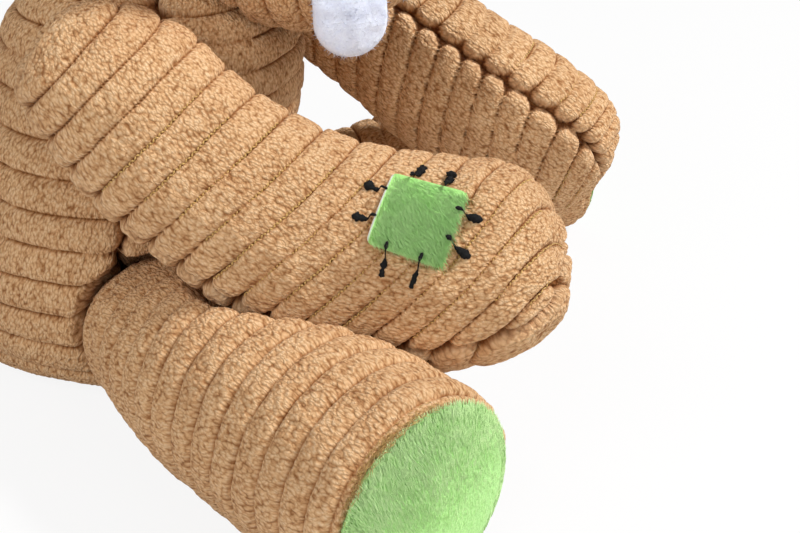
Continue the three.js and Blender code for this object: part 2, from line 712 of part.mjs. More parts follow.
function addLeg(name, side) {
  const form = legForm(side);
  const { tangent } = legFrame(side);
  const place = alongAxis(hipCentre(side), tangent);
  const soleRadius = LEG.footRadius - SOLE.rim;
  const behind = LEG.reach - SOLE.thickness;
  const beyond = LEG.reach + CUT_OVERRUN;
  const recess = spunSolid(rodProfile(soleRadius, behind, beyond), LIMB_SIDES, place);
  const stop = spunSolid(rodProfile(LEG.footRadius, behind - FIT_GAP, beyond), LIMB_SIDES, place);
  const hollow = softSolid(form, -LINING).subtract(stop).add(
    spunSolid(rodProfile(soleRadius - LINING / 2, behind - LINING, behind + FIT_GAP), LIMB_SIDES, place),
  ).subtract(restRoom(side, SEAM_GAP + FABRIC.wall));
  const outside = softSolid(form, 0, { waled: true }).subtract(restRoom(side, SEAM_GAP));
  const skin = outside.subtract(hollow).subtract(recess).subtract(floorBox());
  addPiece(`${name}_leg_skin`, skin, clothMaterial(COLOURS.corduroy));
  const filling = softSolid(form, -LINING - FIT_GAP).subtract(stop);
  const spared = filling.subtract(restRoom(side, SEAM_GAP + FABRIC.wall + FIT_GAP));
  addPiece(`${name}_leg_filling`, spared, clothMaterial(COLOURS.filling));
  const outer = soleRadius - FIT_GAP;
  const sole = [
    [0, behind + FIT_GAP], [outer, behind + FIT_GAP], [outer, LEG.reach - SOLE.dome],
    [outer * SOLE.shoulderShare, LEG.reach], [0, LEG.reach + SOLE.dome],
  ];
  addPiece(`${name}_sole`, spunSolid(sole, LIMB_SIDES, place), clothMaterial(COLOURS.fur));
}

// Places on the outer side of the right arm: a way round the oval, and across it and along it.
function patchFrame() {
  const form = armForm(-1);
  const place = form.place(PATCH.along);
  const around = THREE.MathUtils.degToRad(PATCH.around);
  const outward = place.side.clone().multiplyScalar(Math.cos(around));
  outward.addScaledVector(place.up, Math.sin(around));
  const tangent = new THREE.Vector3().crossVectors(place.side, place.up);
  const across = new THREE.Vector3().crossVectors(outward, tangent);
  const turn = THREE.MathUtils.degToRad(PATCH.turn);
  const first = tangent.clone().multiplyScalar(Math.cos(turn)).addScaledVector(across, Math.sin(turn));
  const second = new THREE.Vector3().crossVectors(outward, first);
  return { origin: place.centre, first, second, outward };
}

function patchBlock(frame, width, depth, along = 0, across = 0) {
  const reach = ARM.halfWidth + CUT_OVERRUN;
  const block = new THREE.BoxGeometry(width, depth, reach).translate(along, across, reach / 2);
  return solidOf(block.applyMatrix4(turned(frame.origin, frame.first, frame.second, frame.outward)));
}

function addPatch() {
  const form = armForm(-1);
  const frame = patchFrame();
  const skinSide = softSolid(form, FIT_GAP, { fine: true });
  const patchTop = softSolid(form, FIT_GAP + PATCH.thickness, { fine: true });
  const patch = patchBlock(frame, PATCH.size, PATCH.size).intersect(patchTop).subtract(skinSide);
  addPiece("arm_patch", patch, clothMaterial(COLOURS.fur));
  const overPatch = softSolid(form, 2 * FIT_GAP + PATCH.thickness, { fine: true });
  const grown = PATCH.size + 2 * FIT_GAP;
  const step = patchBlock(frame, grown, grown).intersect(overPatch).add(skinSide);
  const stitchTop = softSolid(form, 2 * FIT_GAP + PATCH.thickness + STITCH.proud, { fine: true });
  const centre = PATCH.size / 2 + STITCH.length * (1 / 2 - STITCH.overlapShare);
  const shift = PATCH.size * STITCH.edgeShare;
  let count = 0;
  for (const edge of [-1, 1]) {
    for (const place of [-1, 1]) {
      for (const flip of [false, true]) {
        count += 1;
        const block = flip
          ? patchBlock(frame, STITCH.width, STITCH.length, place * shift, edge * centre)
          : patchBlock(frame, STITCH.length, STITCH.width, edge * centre, place * shift);
        const stitch = block.intersect(stitchTop).subtract(step);
        addPiece(`patch_stitch_${count}`, stitch, clothMaterial(COLOURS.thread));
      }
    }
  }
}

addTorso();
addSqueaker();
addHead();
addFace();
addEars();
addTeeth();
for (const [name, side] of [["right", -1], ["left", 1]]) {
  addArm(name, side);
  addLeg(name, side);
}
addPatch();

export default part;
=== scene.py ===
# A seated plush toy for a dog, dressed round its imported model: chenille corduroy over stuffed limbs, fur soles,
# felt teeth and a fur patch tied on with black thread. Metres, +Z up, the toy looks along -Y.
import json
import math

import bmesh
import bpy
import numpy as np
from mathutils import Matrix


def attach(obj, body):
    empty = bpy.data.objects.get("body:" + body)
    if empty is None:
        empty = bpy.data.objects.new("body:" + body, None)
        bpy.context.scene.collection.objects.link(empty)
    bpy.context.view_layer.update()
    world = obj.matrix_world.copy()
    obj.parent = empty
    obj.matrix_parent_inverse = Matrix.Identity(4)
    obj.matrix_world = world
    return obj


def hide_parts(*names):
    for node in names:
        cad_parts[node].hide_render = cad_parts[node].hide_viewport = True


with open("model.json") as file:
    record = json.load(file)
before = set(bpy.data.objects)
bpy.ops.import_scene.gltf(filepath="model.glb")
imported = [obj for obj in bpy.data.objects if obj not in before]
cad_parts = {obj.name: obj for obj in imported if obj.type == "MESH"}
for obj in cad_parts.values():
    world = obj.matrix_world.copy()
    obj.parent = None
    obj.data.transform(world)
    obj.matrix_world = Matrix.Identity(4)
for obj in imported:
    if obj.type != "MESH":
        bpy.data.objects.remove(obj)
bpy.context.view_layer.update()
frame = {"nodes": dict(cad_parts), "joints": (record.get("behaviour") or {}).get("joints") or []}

RIGHT, LEFT = -1, 1
SIDES = {"right": RIGHT, "left": LEFT}
X, Y, Z = np.eye(3)

# The camera stands close to the toy's right side and looks down on it.
CAMERA = {
    "place": (-0.35090, -0.1910, 0.24176), "bearing": 75.1267, "down": 30.0485, "roll": 0.3795, "lens": 57.586,
    "sensor": 36, "near": 0.01,
}

# Each lamp's place, size and power.
LAMPS = [
    ("key", (0.22, -0.78, 0.95), 0.16, 12.2),
    ("fill", (-0.9, 0.3, 0.75), 0.9, 6.6),
    ("front", (-0.6, -1, 0.8), 0.6, 3.5),
]
LAMP_TARGET = (0, -0.06, 0.08)
WORLD = {"colour": (1, 0.92, 0.82), "strength": 0.16}

# The floor: its half width, how far it lies under the toy, its grey, and how much of it glows to the camera.
FLOOR = {"half": 3, "drop": 0.0002, "grey": 0.8, "roughness": 0.9, "glow": 0.88}

# Cloth: the shape of its ridges, tufts and seams, how often a place is settled, and the room left for neighbours.
CLOTH = {
    "floor_share": 0.97, "tuft": 0.0012, "tuft_stretch": 1.7, "tuft_height": 0.0004, "tuft_reach": 0.7,
    "tuft_low": 0.3, "wobble": [(0.09, 0.03), (0.03, 0.007)], "uneven": [(0.0007, 0.014), (0.0003, 0.004)],
    "end_fade": (0.001, 0.009), "hollow_fade": (0.004, 0.012), "hollow_flat": 0.2,
}
# In SEAM, glow is how far from a seam the painted highlight on the ridges reaches.
SEAM = {
    "depth": 0.0011, "width": 0.0011, "round": 0.0048, "lip": 0.0036, "lip_depth": 0.0004, "lip_width": 0.0005,
    "notch": 1.7, "notch_reach": 0.005, "swell": 0.0011, "swell_reach": 0.006,
    "swell_hollow": 0.0015, "pinch": 0.9, "glow": 0.0022,
}
SETTLE = {"slope": 5, "groove": 8, "share": 0.7, "reach": 18}
ROOM = {"limb": 0.001, "neck": 0.0024, "step": 0.0003, "most": 0.04, "turns": 9, "leg_turns": 5, "soft": 0.0018}

# The forms, with the sizes of the solids, and the wales of the cloth over each. Rows of shares are along, side, up.
SEAT_CUT = 0.0005
TORSO = {
    "height": 0.138, "side": 0.062, "depth": 0.055, "lean": 0.022, "pitch": 0.011, "squareness": 2.35,
    "panels": [(90, 0, 0, 0), (203, 0, 0, 0.4), (337, 0, 0, 0)], "spacing": 0.0009, "wale_depth": 0.0018,
    "roundness": 3, "fill": 0.75,
}
TORSO_SHARES = [
    (0, 0, 0), (0, 0.36, 0.36), (0.004, 0.72, 0.72), (0.045, 0.9, 0.9), (0.14, 0.99, 0.99), (0.27, 1, 0.95),
    (0.43, 0.97, 0.86), (0.6, 0.84, 0.87), (0.74, 0.7, 0.87), (0.86, 0.58, 0.74), (0.95, 0.42, 0.48),
    (0.992, 0.2, 0.24), (1, 0, 0),
]
SKULL = {"bottom": 0.122, "height": 0.104, "side": 0.054, "depth": 0.05, "forward": 0.038, "squareness": 2.1}
SKULL_SHARES = [
    (0, 0, 0), (0.01, 0.2, 0.24), (0.05, 0.38, 0.48), (0.15, 0.56, 0.72), (0.28, 0.78, 0.9), (0.42, 0.96, 0.99),
    (0.56, 1, 1), (0.72, 0.9, 0.92), (0.87, 0.66, 0.7), (0.97, 0.32, 0.36), (1, 0, 0),
]
MUZZLE = {"start": 0.037, "length": 0.066, "side": 0.03, "height": 0.025, "level": 0.137, "squareness": 2.1}
MUZZLE_SHARES = [
    (0, 0, 0), (0.02, 0.5, 0.5), (0.15, 0.85, 0.85), (0.4, 1, 1), (0.68, 0.97, 0.96), (0.88, 0.74, 0.72),
    (0.975, 0.38, 0.36), (1, 0, 0),
]
HEAD = {
    "middle": (0, -0.05, 0.145), "blend": 0.003, "skull_pitch": 0.011, "muzzle_pitch": 0.01, "fineness": 7,
    "roundness": 3, "wobble": (0.06, 0.03), "wale_depth": 0.0022, "seam_depth": 0.0014, "seam_width": 1.2,
    "fill": 0.75,
}
ARM = {
    "side": 0.0205, "up": 0.0288, "reach": 0.132, "paw": 0.018, "toe_in": 2.8, "slope": 0.42,
    "squareness": 2.1, "wale_depth": 0.0016, "roundness": 4.5, "fill": 0.7, "threaded": (0.1, 0.93),
}
ARM_SHARES = [
    (0, 0, 0), (0.012, 0.33, 0.33), (0.045, 0.56, 0.56), (0.11, 0.815, 0.815), (0.22, 0.9, 0.9), (0.45, 0.97, 0.97),
    (0.7, 1.07, 1.07), (0.86, 1, 1), (0.94, 0.82, 0.82), (0.985, 0.5, 0.5), (1, 0, 0),
]
ARM_POSES = {
    "right": {
        "root_length": 0.0135, "root": 60, "paw": -10, "panel_turn": 38, "spacing": 0.0006, "pitch": 0.0107,
        "parallel": True, "twist": -190, "panels": [(62, -0.25, 9, 0), (262, -0.25, 9, 0)],
        "thread": ((95, 150), (70, 120)),
    },
    "left": {
        "root_length": 0.01, "root": 35, "paw": 30, "panel_turn": 16, "spacing": 0.0009, "pitch": 0.0093,
        "parallel": False, "twist": 0, "panels": [(126, -0.35, 0, 0), (300, 0.42, 0, 0.4)],
        "thread": ((0, 360), (40, 90)),
    },
}
LEG = {
    "foot": 0.0314, "reach": 0.113, "edge": 0.004, "splay": 31, "pitch": 0.009, "squareness": 2,
    "panels": [(20, 0, 0, 0.4), (268, 0, 0, 0)], "wale_depth": 0.0021, "roundness": 3.4, "fill": 0.7,
    "hip_steps": [0, 22.5, 45, 67.5],
}
LEG_POSES = {
    "right": {
        "root": 0.024, "spacing": 0.0006, "shares": [(0, 0), (0.12, 0.45), (0.3, 0.87), (0.55, 1), (0.86, 1)],
    },
    "left": {
        "root": 0.019, "spacing": 0.0009, "shares": [(0, 0), (0.12, 0.12), (0.3, 0.4), (0.55, 0.8), (0.86, 1)],
    },
}
SOLE = {
    "radius": 0.0286, "dome": 0.0032, "thickness": 0.005, "edge": 0.004, "well": 0.003, "well_inset": 0.0014,
    "rim_share": 0.4, "rim_start": 0.8, "swirl": 0.016, "comb": (1.1, -0.55, 0.55, 0.45), "flare": 0.25,
    "rings": 20, "fill": 0.5,
}
FRAY = {"start": 66, "turn": 42, "sunk": 0.0014, "deep": 0.9, "outward": 0.5}
EYE = {"side": 0.017, "height": 0.178, "radius": 0.0065, "dome": 0.005, "inset": 0.001, "strand": 0.0006,
       "strand_height": 0.00008, "fill": 0.5}
NOSE = {"side": 0.011, "up": 0.008, "depth": 0.008, "inset": 0.003, "height": 0.15, "lumps": 0.0004, "fill": 0.8}
EAR = {
    "side": 0.042, "height": 0.216, "forward": 0.036, "tilt": 32, "across": 0.019, "up": 0.021, "depth": 0.0055,
    "pitch": 0.0085, "wale_depth": 0.0012, "roundness": 3, "rim": 0.001, "fill": 0.5,
}
LINING = {"share": 0.66, "thickness": 0.0016, "front": 0.45, "scatter": 0.0005, "fill": 0.3}
TOOTH = {
    "width": 0.021, "length": 0.026, "thickness": 0.0032, "bearing": 60, "side": 0.024, "forward": 0.089,
    "top": 0.139, "lean": 8, "edge": 0.0022, "bulge": 0.0012, "lumps": (0.0003, 0.0025), "fuzz": (0.4, 0.01),
}
PATCH = {
    "size": 0.021, "thickness": 0.0016, "along": 0.1095, "around": 158.5, "turn": -9, "corner": 0.0016,
    "edge": 0.0008, "gap": 0.0004, "cut": (0.0008, 0.0003), "swirl": 0.008, "comb": (0.8, -0.7, 0.5),
    "pile_share": 0.95, "pile_shift": 0.0003,
}
# Piles of hairs: how many, their length and width, how much they stand up and how much they stray.
PILES = {
    "sole": (26000, 0.005, 0.00026, 0.11, 0.07), "fray": (420, 0.0028, 0.00022, 0.12, 0.22),
    "ear": (2000, 0.0042, 0.00026, 0.3, 0.25), "tooth": (1500, 0.0016, 0.00016, 0.3, 0.25),
    "patch": (8000, 0.0034, 0.00024, 0.13, 0.12),
}
HAIR = {"lengths": (0.7, 1.15), "twist": 0.3, "sunk": 0.0004}
STITCH = {
    "length": 0.0074, "thin": 0.0005, "thick": 0.0011, "edge_share": 0.21, "overlap_share": 0.16, "lean": 14,
    "spread": (0.92, 1.06), "over": 0.0012, "lift": 0.002, "low": 0.0003, "knots": (0.5, 0.0009), "flatness": 0.8,
    "strands": 4, "twist": 34, "strand_share": 0.22, "rows": 26, "sides": 14, "thicken": (0.3, 0.8), "blunt": 8,
    "tip": 0.02,
}
GOLD = {
    "step": 0.0011, "width": 0.00036, "height": 0.00036, "depth_share": 0.6, "slant": 0.6, "length_share": 0.72,
    "outer": 0.004, "points": 160, "fewest": 20,
}

# Numbers that mix a cell's place into a value.
MIX = {
    "offset": 65536, "primes": np.array([73856093, 19349663, 83492791], np.int64), "salt": 2654435761,
    "rounds": [(13, 1274126177), (11, 668265263)], "last": 15, "mask": 0xFFFFFFFF,
}


# Arrays: directions, smooth noise and tufts. The same points always give the same values.
def unit(vectors):
    return vectors / np.maximum(np.linalg.norm(vectors, axis=-1, keepdims=True), 1e-12)


def towards(first, second, turn):
    """First, turned towards second, which is square to it."""
    return first * math.cos(turn) + second * math.sin(turn)


def circle(radius, angle):
    return np.stack([radius * np.cos(angle), radius * np.sin(angle)], -1)


def on_plane(flat, first, second):
    return flat[:, :1] * first + flat[:, 1:] * second


def bell(value, width, middle=0.0):
    return np.exp(-(((value - middle) / width) ** 2))


def cell_value(cells, salt):
    """A value from 0 to 1 for each cell, mixed from its three numbers with large primes."""
    mixed = ((cells + MIX["offset"]) * MIX["primes"]).sum(-1) + salt * MIX["salt"]
    for shift, factor in MIX["rounds"]:
        mixed = (mixed ^ (mixed >> shift)) * factor & MIX["mask"]
    return (mixed ^ (mixed >> MIX["last"])) / (MIX["mask"] + 1)


def noise(points, size, salt=0):
    """Smooth noise from -1 to 1, whose lumps are about size apart."""
    scaled = points / size
    cells = np.floor(scaled).astype(np.int64)
    share = scaled - cells
    share = share * share * (3 - 2 * share)
    total = 0
    for corner in np.ndindex(2, 2, 2):
        weight = np.prod(np.where(corner, share, 1 - share), axis=-1)
        total = total + weight * cell_value(cells + corner, salt)
    return 2 * total - 1


def tufts(points, size, salt=0):
    """From 1 at the middle of each tuft to 0 between them."""
    scaled = points / size
    cells = np.floor(scaled).astype(np.int64)
    nearest = np.full(len(points), np.inf)
    for step in np.ndindex(3, 3, 3):
        near = cells + np.array(step) - 1
        seeds = near + np.stack([cell_value(near, salt + k) for k in range(3)], -1)
        nearest = np.minimum(nearest, ((scaled - seeds) ** 2).sum(-1))
    return 1 - np.clip(nearest / CLOTH["tuft_reach"], 0, 1)


def smoothstep(low, high, value):
    share = np.clip((value - low) / (high - low), 0, 1)
    return share * share * (3 - 2 * share)


# Forms: a stack of ovals along a path, as the solids have.
def smooth_rows(rows, fineness=24):
    """A centripetal curve through the rows of an outline."""
    p = np.array(rows, float)
    p = np.vstack([2 * p[0] - p[1], p, 2 * p[-1] - p[-2]])
    t = np.linspace(0, 1, fineness, endpoint=False)[:, None]
    parts = []
    for a, b, c, d in zip(p, p[1:], p[2:], p[3:]):
        before, here, after = (max(np.linalg.norm(v), 1e-9) ** 0.5 for v in (b - a, c - b, d - c))
        start = ((b - a) / before - (c - a) / (before + here) + (c - b) / here) * here
        end = ((c - b) / here - (d - b) / (here + after) + (d - c) / after) * here
        parts.append(b + start * t + (3 * (c - b) - 2 * start - end) * t**2 + (2 * (b - c) + start + end) * t**3)
    return np.vstack([*parts, p[-2:-1]])


class Form:
    """Ovals along a path. place gives centres and directions, and locate finds along, side and up of points."""

    def __init__(self, rows, squareness, place, locate, slope=0.0):
        self.rows = smooth_rows(rows)
        self.rows[:, 1:] = np.maximum(self.rows[:, 1:], 0)
        self.squareness, self.place, self.locate, self.slope = squareness, place, locate, slope
        steps = np.linalg.norm(np.diff(self.rows, axis=0), axis=1)
        self.arc = np.concatenate([[0], np.cumsum(steps)])
        self.girth = self.rows[:, 1:].sum(1).max() * math.pi

    def fade(self, along):
        share = (along - self.rows[0, 0]) / (self.rows[-1, 0] - self.rows[0, 0])
        return np.clip(6 * share * (1 - share), 0, 1)

    def half(self, arc):
        return np.interp(arc, self.arc, self.rows[:, 1:].mean(1))

    def surface(self, arc, angle, grow=0.0):
        """Points at a distance along the outline and an angle round it, and their along, side and up."""
        along, side, up = (np.interp(arc, self.arc, self.rows[:, k]) for k in range(3))
        c, s = np.cos(angle), np.sin(angle)
        swell = (np.abs(c) ** self.squareness + np.abs(s) ** self.squareness) ** (-1 / self.squareness)
        side, up = (side + grow) * c * swell, (up + grow) * s * swell
        along = along + self.slope * self.fade(along) * up
        centre, across, upward = self.place(along)
        return centre + side[..., None] * across + up[..., None] * upward, np.stack([along, side, up], -1)

    def inside(self, points, grow=0.0):
        along, side, up = self.locate(points)
        station = along - self.slope * self.fade(along) * up
        half_side, half_up = (np.interp(station, self.rows[:, 0], self.rows[:, k]) + grow for k in (1, 2))
        power = self.squareness
        share = np.abs(side / half_side) ** power + np.abs(up / half_up) ** power
        return (share < 1) & (station > self.rows[0, 0] - grow) & (station < self.rows[-1, 0] + grow)

    def reached(self, origins, direction, grow=0.0, span=0.15):
        """Where lines out of the form from these origins leave it."""
        low, high = np.zeros(len(origins)), np.full(len(origins), span)
        for _ in range(SETTLE["reach"]):
            middle = (low + high) / 2
            within = self.inside(origins + middle[:, None] * direction, grow)
            low, high = np.where(within, middle, low), np.where(within, high, middle)
        return low


def straight_form(rows, squareness, origin, side, up, along, drift=None):
    """A form round a straight path. drift shifts the ovals by so much for each metre along."""
    drift = np.zeros(3) if drift is None else drift

    def place(distance):
        centre = origin + distance[..., None] * (along + drift)
        return centre, side, up

    def locate(points):
        q = points - origin
        distance = q @ along
        q = q - distance[..., None] * drift
        return distance, q @ side, q @ up

    return Form(rows, squareness, place, locate)


def rows_of(shares, length, side, up, start=0.0):
    return [(start + a * length, s * side, u * up) for a, s, u in shares]


def joint(name):
    return next(j for j in frame["joints"] if j["name"] == name)


def torso_form():
    rows = rows_of(TORSO_SHARES, TORSO["height"], TORSO["side"], TORSO["depth"])
    drift = -Y * TORSO["lean"] / TORSO["height"]
    return straight_form(rows, TORSO["squareness"], -Z * SEAT_CUT, X, Y, Z, drift)


def skull_form():
    rows = rows_of(SKULL_SHARES, SKULL["height"], SKULL["side"], SKULL["depth"])
    return straight_form(rows, SKULL["squareness"], -Y * SKULL["forward"] + Z * SKULL["bottom"], X, Y, Z)


def muzzle_form():
    rows = rows_of(MUZZLE_SHARES, MUZZLE["length"], MUZZLE["side"], MUZZLE["height"])
    return straight_form(rows, MUZZLE["squareness"], -Y * MUZZLE["start"] + Z * MUZZLE["level"], X, Z, -Y)


def arm_form(name):
    """An arm bends along an arc, from a steep root to its paw."""
    side, pose = SIDES[name], ARM_POSES[name]
    shoulder = np.array(joint(name + "_shoulder")["pos_m"])
    root, paw, turn, toe = (math.radians(v) for v in (pose["root"], pose["paw"], pose["panel_turn"], ARM["toe_in"]))
    bend = (root - paw) / ARM["reach"]
    forward, outward = towards(-Y, -side * X, toe), towards(side * X, -Y, toe)
    length = pose["root_length"] + ARM["reach"] + ARM["paw"]

    def place(along):
        pitch = (root - bend * along)[..., None]
        run, drop = (math.sin(root) - np.sin(pitch)) / bend, (np.cos(pitch) - math.cos(root)) / bend
        level = forward * np.sin(pitch) + Z * np.cos(pitch)
        centre = shoulder + forward * run - Z * drop
        return centre, side * towards(outward, level, turn), towards(level, -outward, turn)

    def locate(points):
        q = points - shoulder
        run, rise, out = math.sin(root) / bend - q @ forward, math.cos(root) / bend - q[..., 2], q @ outward
        level = 1 / bend - np.hypot(run, rise)
        along = (root - np.arctan2(run, rise)) / bend
        return along, side * towards(out, level, turn), towards(level, -out, turn)

    rows = rows_of(ARM_SHARES, length, ARM["side"], ARM["up"], -pose["root_length"])
    return Form(rows, ARM["squareness"], place, locate, ARM["slope"])


def leg_frame(name):
    hip = np.array(joint(name + "_hip")["pos_m"])
    splay = math.radians(LEG["splay"])
    rise = (LEG["foot"] - SEAT_CUT - hip[2]) / LEG["reach"]
    tangent = unit(towards(-Y, SIDES[name] * X, splay) + rise * Z)
    across = unit(np.cross(tangent, Z))
    return hip, tangent, across, np.cross(across, tangent)


def leg_form(name):
    """A leg runs straight from its round hip to its flat sole."""
    hip, tangent, _, up = leg_frame(name)
    pose, foot, reach = LEG_POSES[name], LEG["foot"], LEG["reach"]
    ball = [(-math.cos(a), math.sin(a)) for a in np.radians(LEG["hip_steps"])]
    rows = [(pose["root"] * a, pose["root"] * r) for a, r in ball]
    rows += [(a * reach, pose["root"] + g * (foot - pose["root"])) for a, g in pose["shares"]]
    rows += [(reach - LEG["edge"], foot), (reach, foot - LEG["edge"]), (reach, 0)]
    return straight_form([(a, r, r) for a, r in rows], LEG["squareness"], hip, np.cross(up, tangent), up, tangent)


# Meshes.
def linked(name, data):
    made = bpy.data.objects.new(name, data)
    bpy.context.scene.collection.objects.link(made)
    return made


def make(name, points, faces, **attributes):
    mesh = bpy.data.meshes.new(name)
    mesh.from_pydata(points.tolist(), [], faces.tolist() if hasattr(faces, "tolist") else faces)
    for key, values in attributes.items():
        kind, field = ("FLOAT", "value") if values.ndim == 1 else ("FLOAT_VECTOR", "vector")
        mesh.attributes.new(key, kind, "POINT").data.foreach_set(field, values.astype(np.float32).ravel())
    mesh.shade_smooth()
    return linked(name, mesh)


def stack_faces(rows, sides):
    """Quads of a closed stack of rings, and the fans at its two end points."""
    i = np.arange(sides)
    after = (i + 1) % sides
    low = 1 + np.arange(rows - 1)[:, None] * sides
    quads = np.stack([low + i, low + after, low + sides + after, low + sides + i], -1).reshape(-1, 4)
    top = 1 + (rows - 1) * sides
    last = 1 + rows * sides
    start = np.stack([np.zeros(sides, int), 1 + after, 1 + i], -1)
    end = np.stack([np.full(sides, last), top + i, top + after], -1)
    return quads.tolist() + start.tolist() + end.tolist()


def grid_normals(grid):
    round_it = np.roll(grid, -1, 1) - np.roll(grid, 1, 1)
    along = np.gradient(grid, axis=0)
    return unit(np.cross(round_it, along))


def softened(depth, cells):
    """Spreads a hollow a little past its edge, and rounds that edge."""
    for _ in range(cells):
        ahead, behind = np.roll(depth, 1, 1), np.roll(depth, -1, 1)
        up, down = np.vstack([depth[:1], depth[:-1]]), np.vstack([depth[1:], depth[-1:]])
        depth = np.maximum.reduce([depth, ahead, behind, up, down])
    for _ in range(2 * cells):
        depth = (2 * depth + np.roll(depth, 1, 1) + np.roll(depth, -1, 1)) / 4
        padded = np.vstack([depth[:1], depth, depth[-1:]])
        depth = (2 * padded[1:-1] + padded[:-2] + padded[2:]) / 4
    return depth


def sunk(points, directions, rooms):
    """How far each point goes along its direction to be out of every room."""
    depth = np.zeros(len(points))
    left = np.arange(len(points))
    for _ in range(round(ROOM["most"] / ROOM["step"])):
        here = points[left] + depth[left, None] * directions[left]
        inside = np.zeros(len(left), bool)
        for room in rooms:
            inside |= room(here)
        left = left[inside]
        if not len(left):
            break
        depth[left] += ROOM["step"]
    return depth


def turned(points, pivot, axis, degrees):
    turn = np.array(Matrix.Rotation(math.radians(degrees), 3, axis))
    return (points - pivot) @ turn.T + pivot


def swept_room(form, joint_name, grow, from_parent=True, turns=ROOM["turns"]):
    """The room that a form needs over a joint's range, seen from the joint's parent or from its child."""
    hinge = joint(joint_name)
    pivot, axis, sign = np.array(hinge["pos_m"]), hinge["axis"], -1 if from_parent else 1

    def room(points):
        found = np.zeros(len(points), bool)
        for degrees in np.linspace(*hinge["range_deg"], turns):
            found |= form.inside(turned(points, pivot, axis, sign * degrees), grow)
        return found

    return room


def ridge(phase, roundness, width=1.0):
    """A rounded ridge at each whole number, from 1 on top to 0 in the grooves between."""
    share = np.minimum(2 * np.abs(phase - np.round(phase)) / (CLOTH["floor_share"] * width), 1)
    return (1 - share**roundness) ** 0.5


class Weave:
    """How corduroy lies on a form.

    Panels are rows of the angle at which each starts, the slope of its ridges at the root, what that slope gains
    in each metre, and the shift of the ridges. The seams turn by twist degrees in each metre.
    """

    def __init__(self, form, pitch, panels, salt, parallel=False, twist=0.0):
        self.form, self.panels, self.salt, self.parallel = form, np.array(panels, float), salt, parallel
        self.twist = math.radians(twist)
        self.pitch = form.arc[-1] / round(form.arc[-1] / pitch)

    def at(self, arc, angle):
        """Points of the bare form, their local places, and the ridge number and the distance to a seam at each."""
        form = self.form
        points, local = form.surface(arc, angle)
        angle = angle - self.twist * local[..., 0]
        which = np.searchsorted(self.panels[:, 0], np.degrees(angle) % 360, side="right") - 1
        slope, growth, shift = (self.panels[which, k] for k in (1, 2, 3))
        station = local[..., 0]
        for _ in range(SETTLE["slope"]):
            fade = 1 if self.parallel else form.fade(station)
            station = local[..., 0] - (slope + growth * station) * fade * local[..., 2]
        if not self.parallel:
            station = np.interp(station, form.rows[:, 0], form.arc)
        number = station / self.pitch + shift
        flat = points.reshape(-1, 3)
        wobble = sum(w * noise(flat, size, self.salt + k) for k, (w, size) in enumerate(CLOTH["wobble"]))
        seam = np.full(arc.shape, 1.0)
        half = form.half(arc)
        for start in np.radians(self.panels[:, 0]):
            gap = np.abs((angle - start + math.pi) % (2 * math.pi) - math.pi)
            seam = np.minimum(seam, gap * half)
        return points, local, number + wobble.reshape(arc.shape), seam

    def groove(self, number, angle):
        """The distances along the form at which a groove runs, for the angles round it."""
        arc = np.full(angle.shape, number * self.pitch)
        for _ in range(SETTLE["groove"]):
            arc = arc - SETTLE["share"] * (self.at(arc, angle)[2] - number) * self.pitch
        return arc


def tufts_on(local, salt):
    stretched = local.reshape(-1, 3) / (CLOTH["tuft_stretch"], 1, 1)
    return tufts(stretched, CLOTH["tuft"], salt).reshape(local.shape[:-1])


def cloth(body, weave, spacing, sizes, material, rooms=(), floor=False):
    """A stuffed piece of corduroy: the form, hollowed where a neighbour lies, with ridges, seams and tufts."""
    form, salt = weave.form, weave.salt
    rows, sides = round(form.arc[-1] / spacing), round(form.girth / spacing)
    arc = np.linspace(0, form.arc[-1], rows + 1)[:, None] * np.ones(sides)
    angle = np.ones((rows + 1, 1)) * np.linspace(0, 2 * math.pi, sides, endpoint=False)
    grid, local, number, seam = weave.at(arc, angle)
    normals = grid_normals(grid)
    hollow = sunk(grid[1:-1].reshape(-1, 3), -normals[1:-1].reshape(-1, 3), rooms).reshape(rows - 1, sides)
    hollow = np.vstack([hollow[:1], softened(hollow, round(ROOM["soft"] / spacing)), hollow[-1:]])
    grid = grid - hollow[..., None] * normals
    normals = grid_normals(grid)
    end = np.clip(1 - seam / SEAM["round"], 0, 1)
    wale = ridge(number, sizes["roundness"], np.sqrt(1 - SEAM["pinch"] * end**2)) * np.sqrt(1 - end**2)
    fade = smoothstep(*CLOTH["end_fade"], form.half(arc))
    fade = fade * (1 - CLOTH["hollow_flat"] * smoothstep(*CLOTH["hollow_fade"], hollow))
    fluff = tufts_on(local, salt)
    flat = grid.reshape(-1, 3)
    uneven = sum(height * noise(flat, size, salt + 5 + k) for k, (height, size) in enumerate(CLOTH["uneven"]))
    notch = 1 + SEAM["notch"] * np.exp(-seam / SEAM["notch_reach"])
    swell = SEAM["swell"] * (1 - smoothstep(0, SEAM["swell_hollow"], hollow)) * fade * wale
    swell = swell * bell(seam, SEAM["swell_reach"])
    shift = swell - sizes["wale_depth"] * fade * notch * (1 - wale) + uneven.reshape(wale.shape)
    low = CLOTH["tuft_low"]
    shift = shift + CLOTH["tuft_height"] * (fluff - 0.5) * (low + (1 - low) * wale)
    shift = shift - SEAM["depth"] * bell(seam, SEAM["width"])
    shift = shift - SEAM["lip_depth"] * bell(seam, SEAM["lip_width"], SEAM["lip"])
    grid = grid + shift[..., None] * normals
    if floor:
        grid[..., 2] = np.maximum(grid[..., 2], 0)

    def ordered(values):
        inner = values[1:-1].reshape(-1, *values.shape[2:])
        return np.concatenate([values[1].mean(0)[None], inner, values[-2].mean(0)[None]])

    # This mask, stored as the seam attribute, places the painted highlight on the ridges near each seam.
    seam_highlight = np.exp(-seam / SEAM["glow"])
    piece = make(body + "_cloth", ordered(grid), stack_faces(rows - 1, sides), wale=ordered(wale),
                 seam=ordered(seam_highlight), cloth=ordered(local))
    finished(piece, body, material, (body + "_skin", body + "_filling"))


def finished(piece, body, material, replaces=()):
    piece.data.materials.append(material)
    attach(piece, body)
    if replaces:
        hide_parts(*replaces)


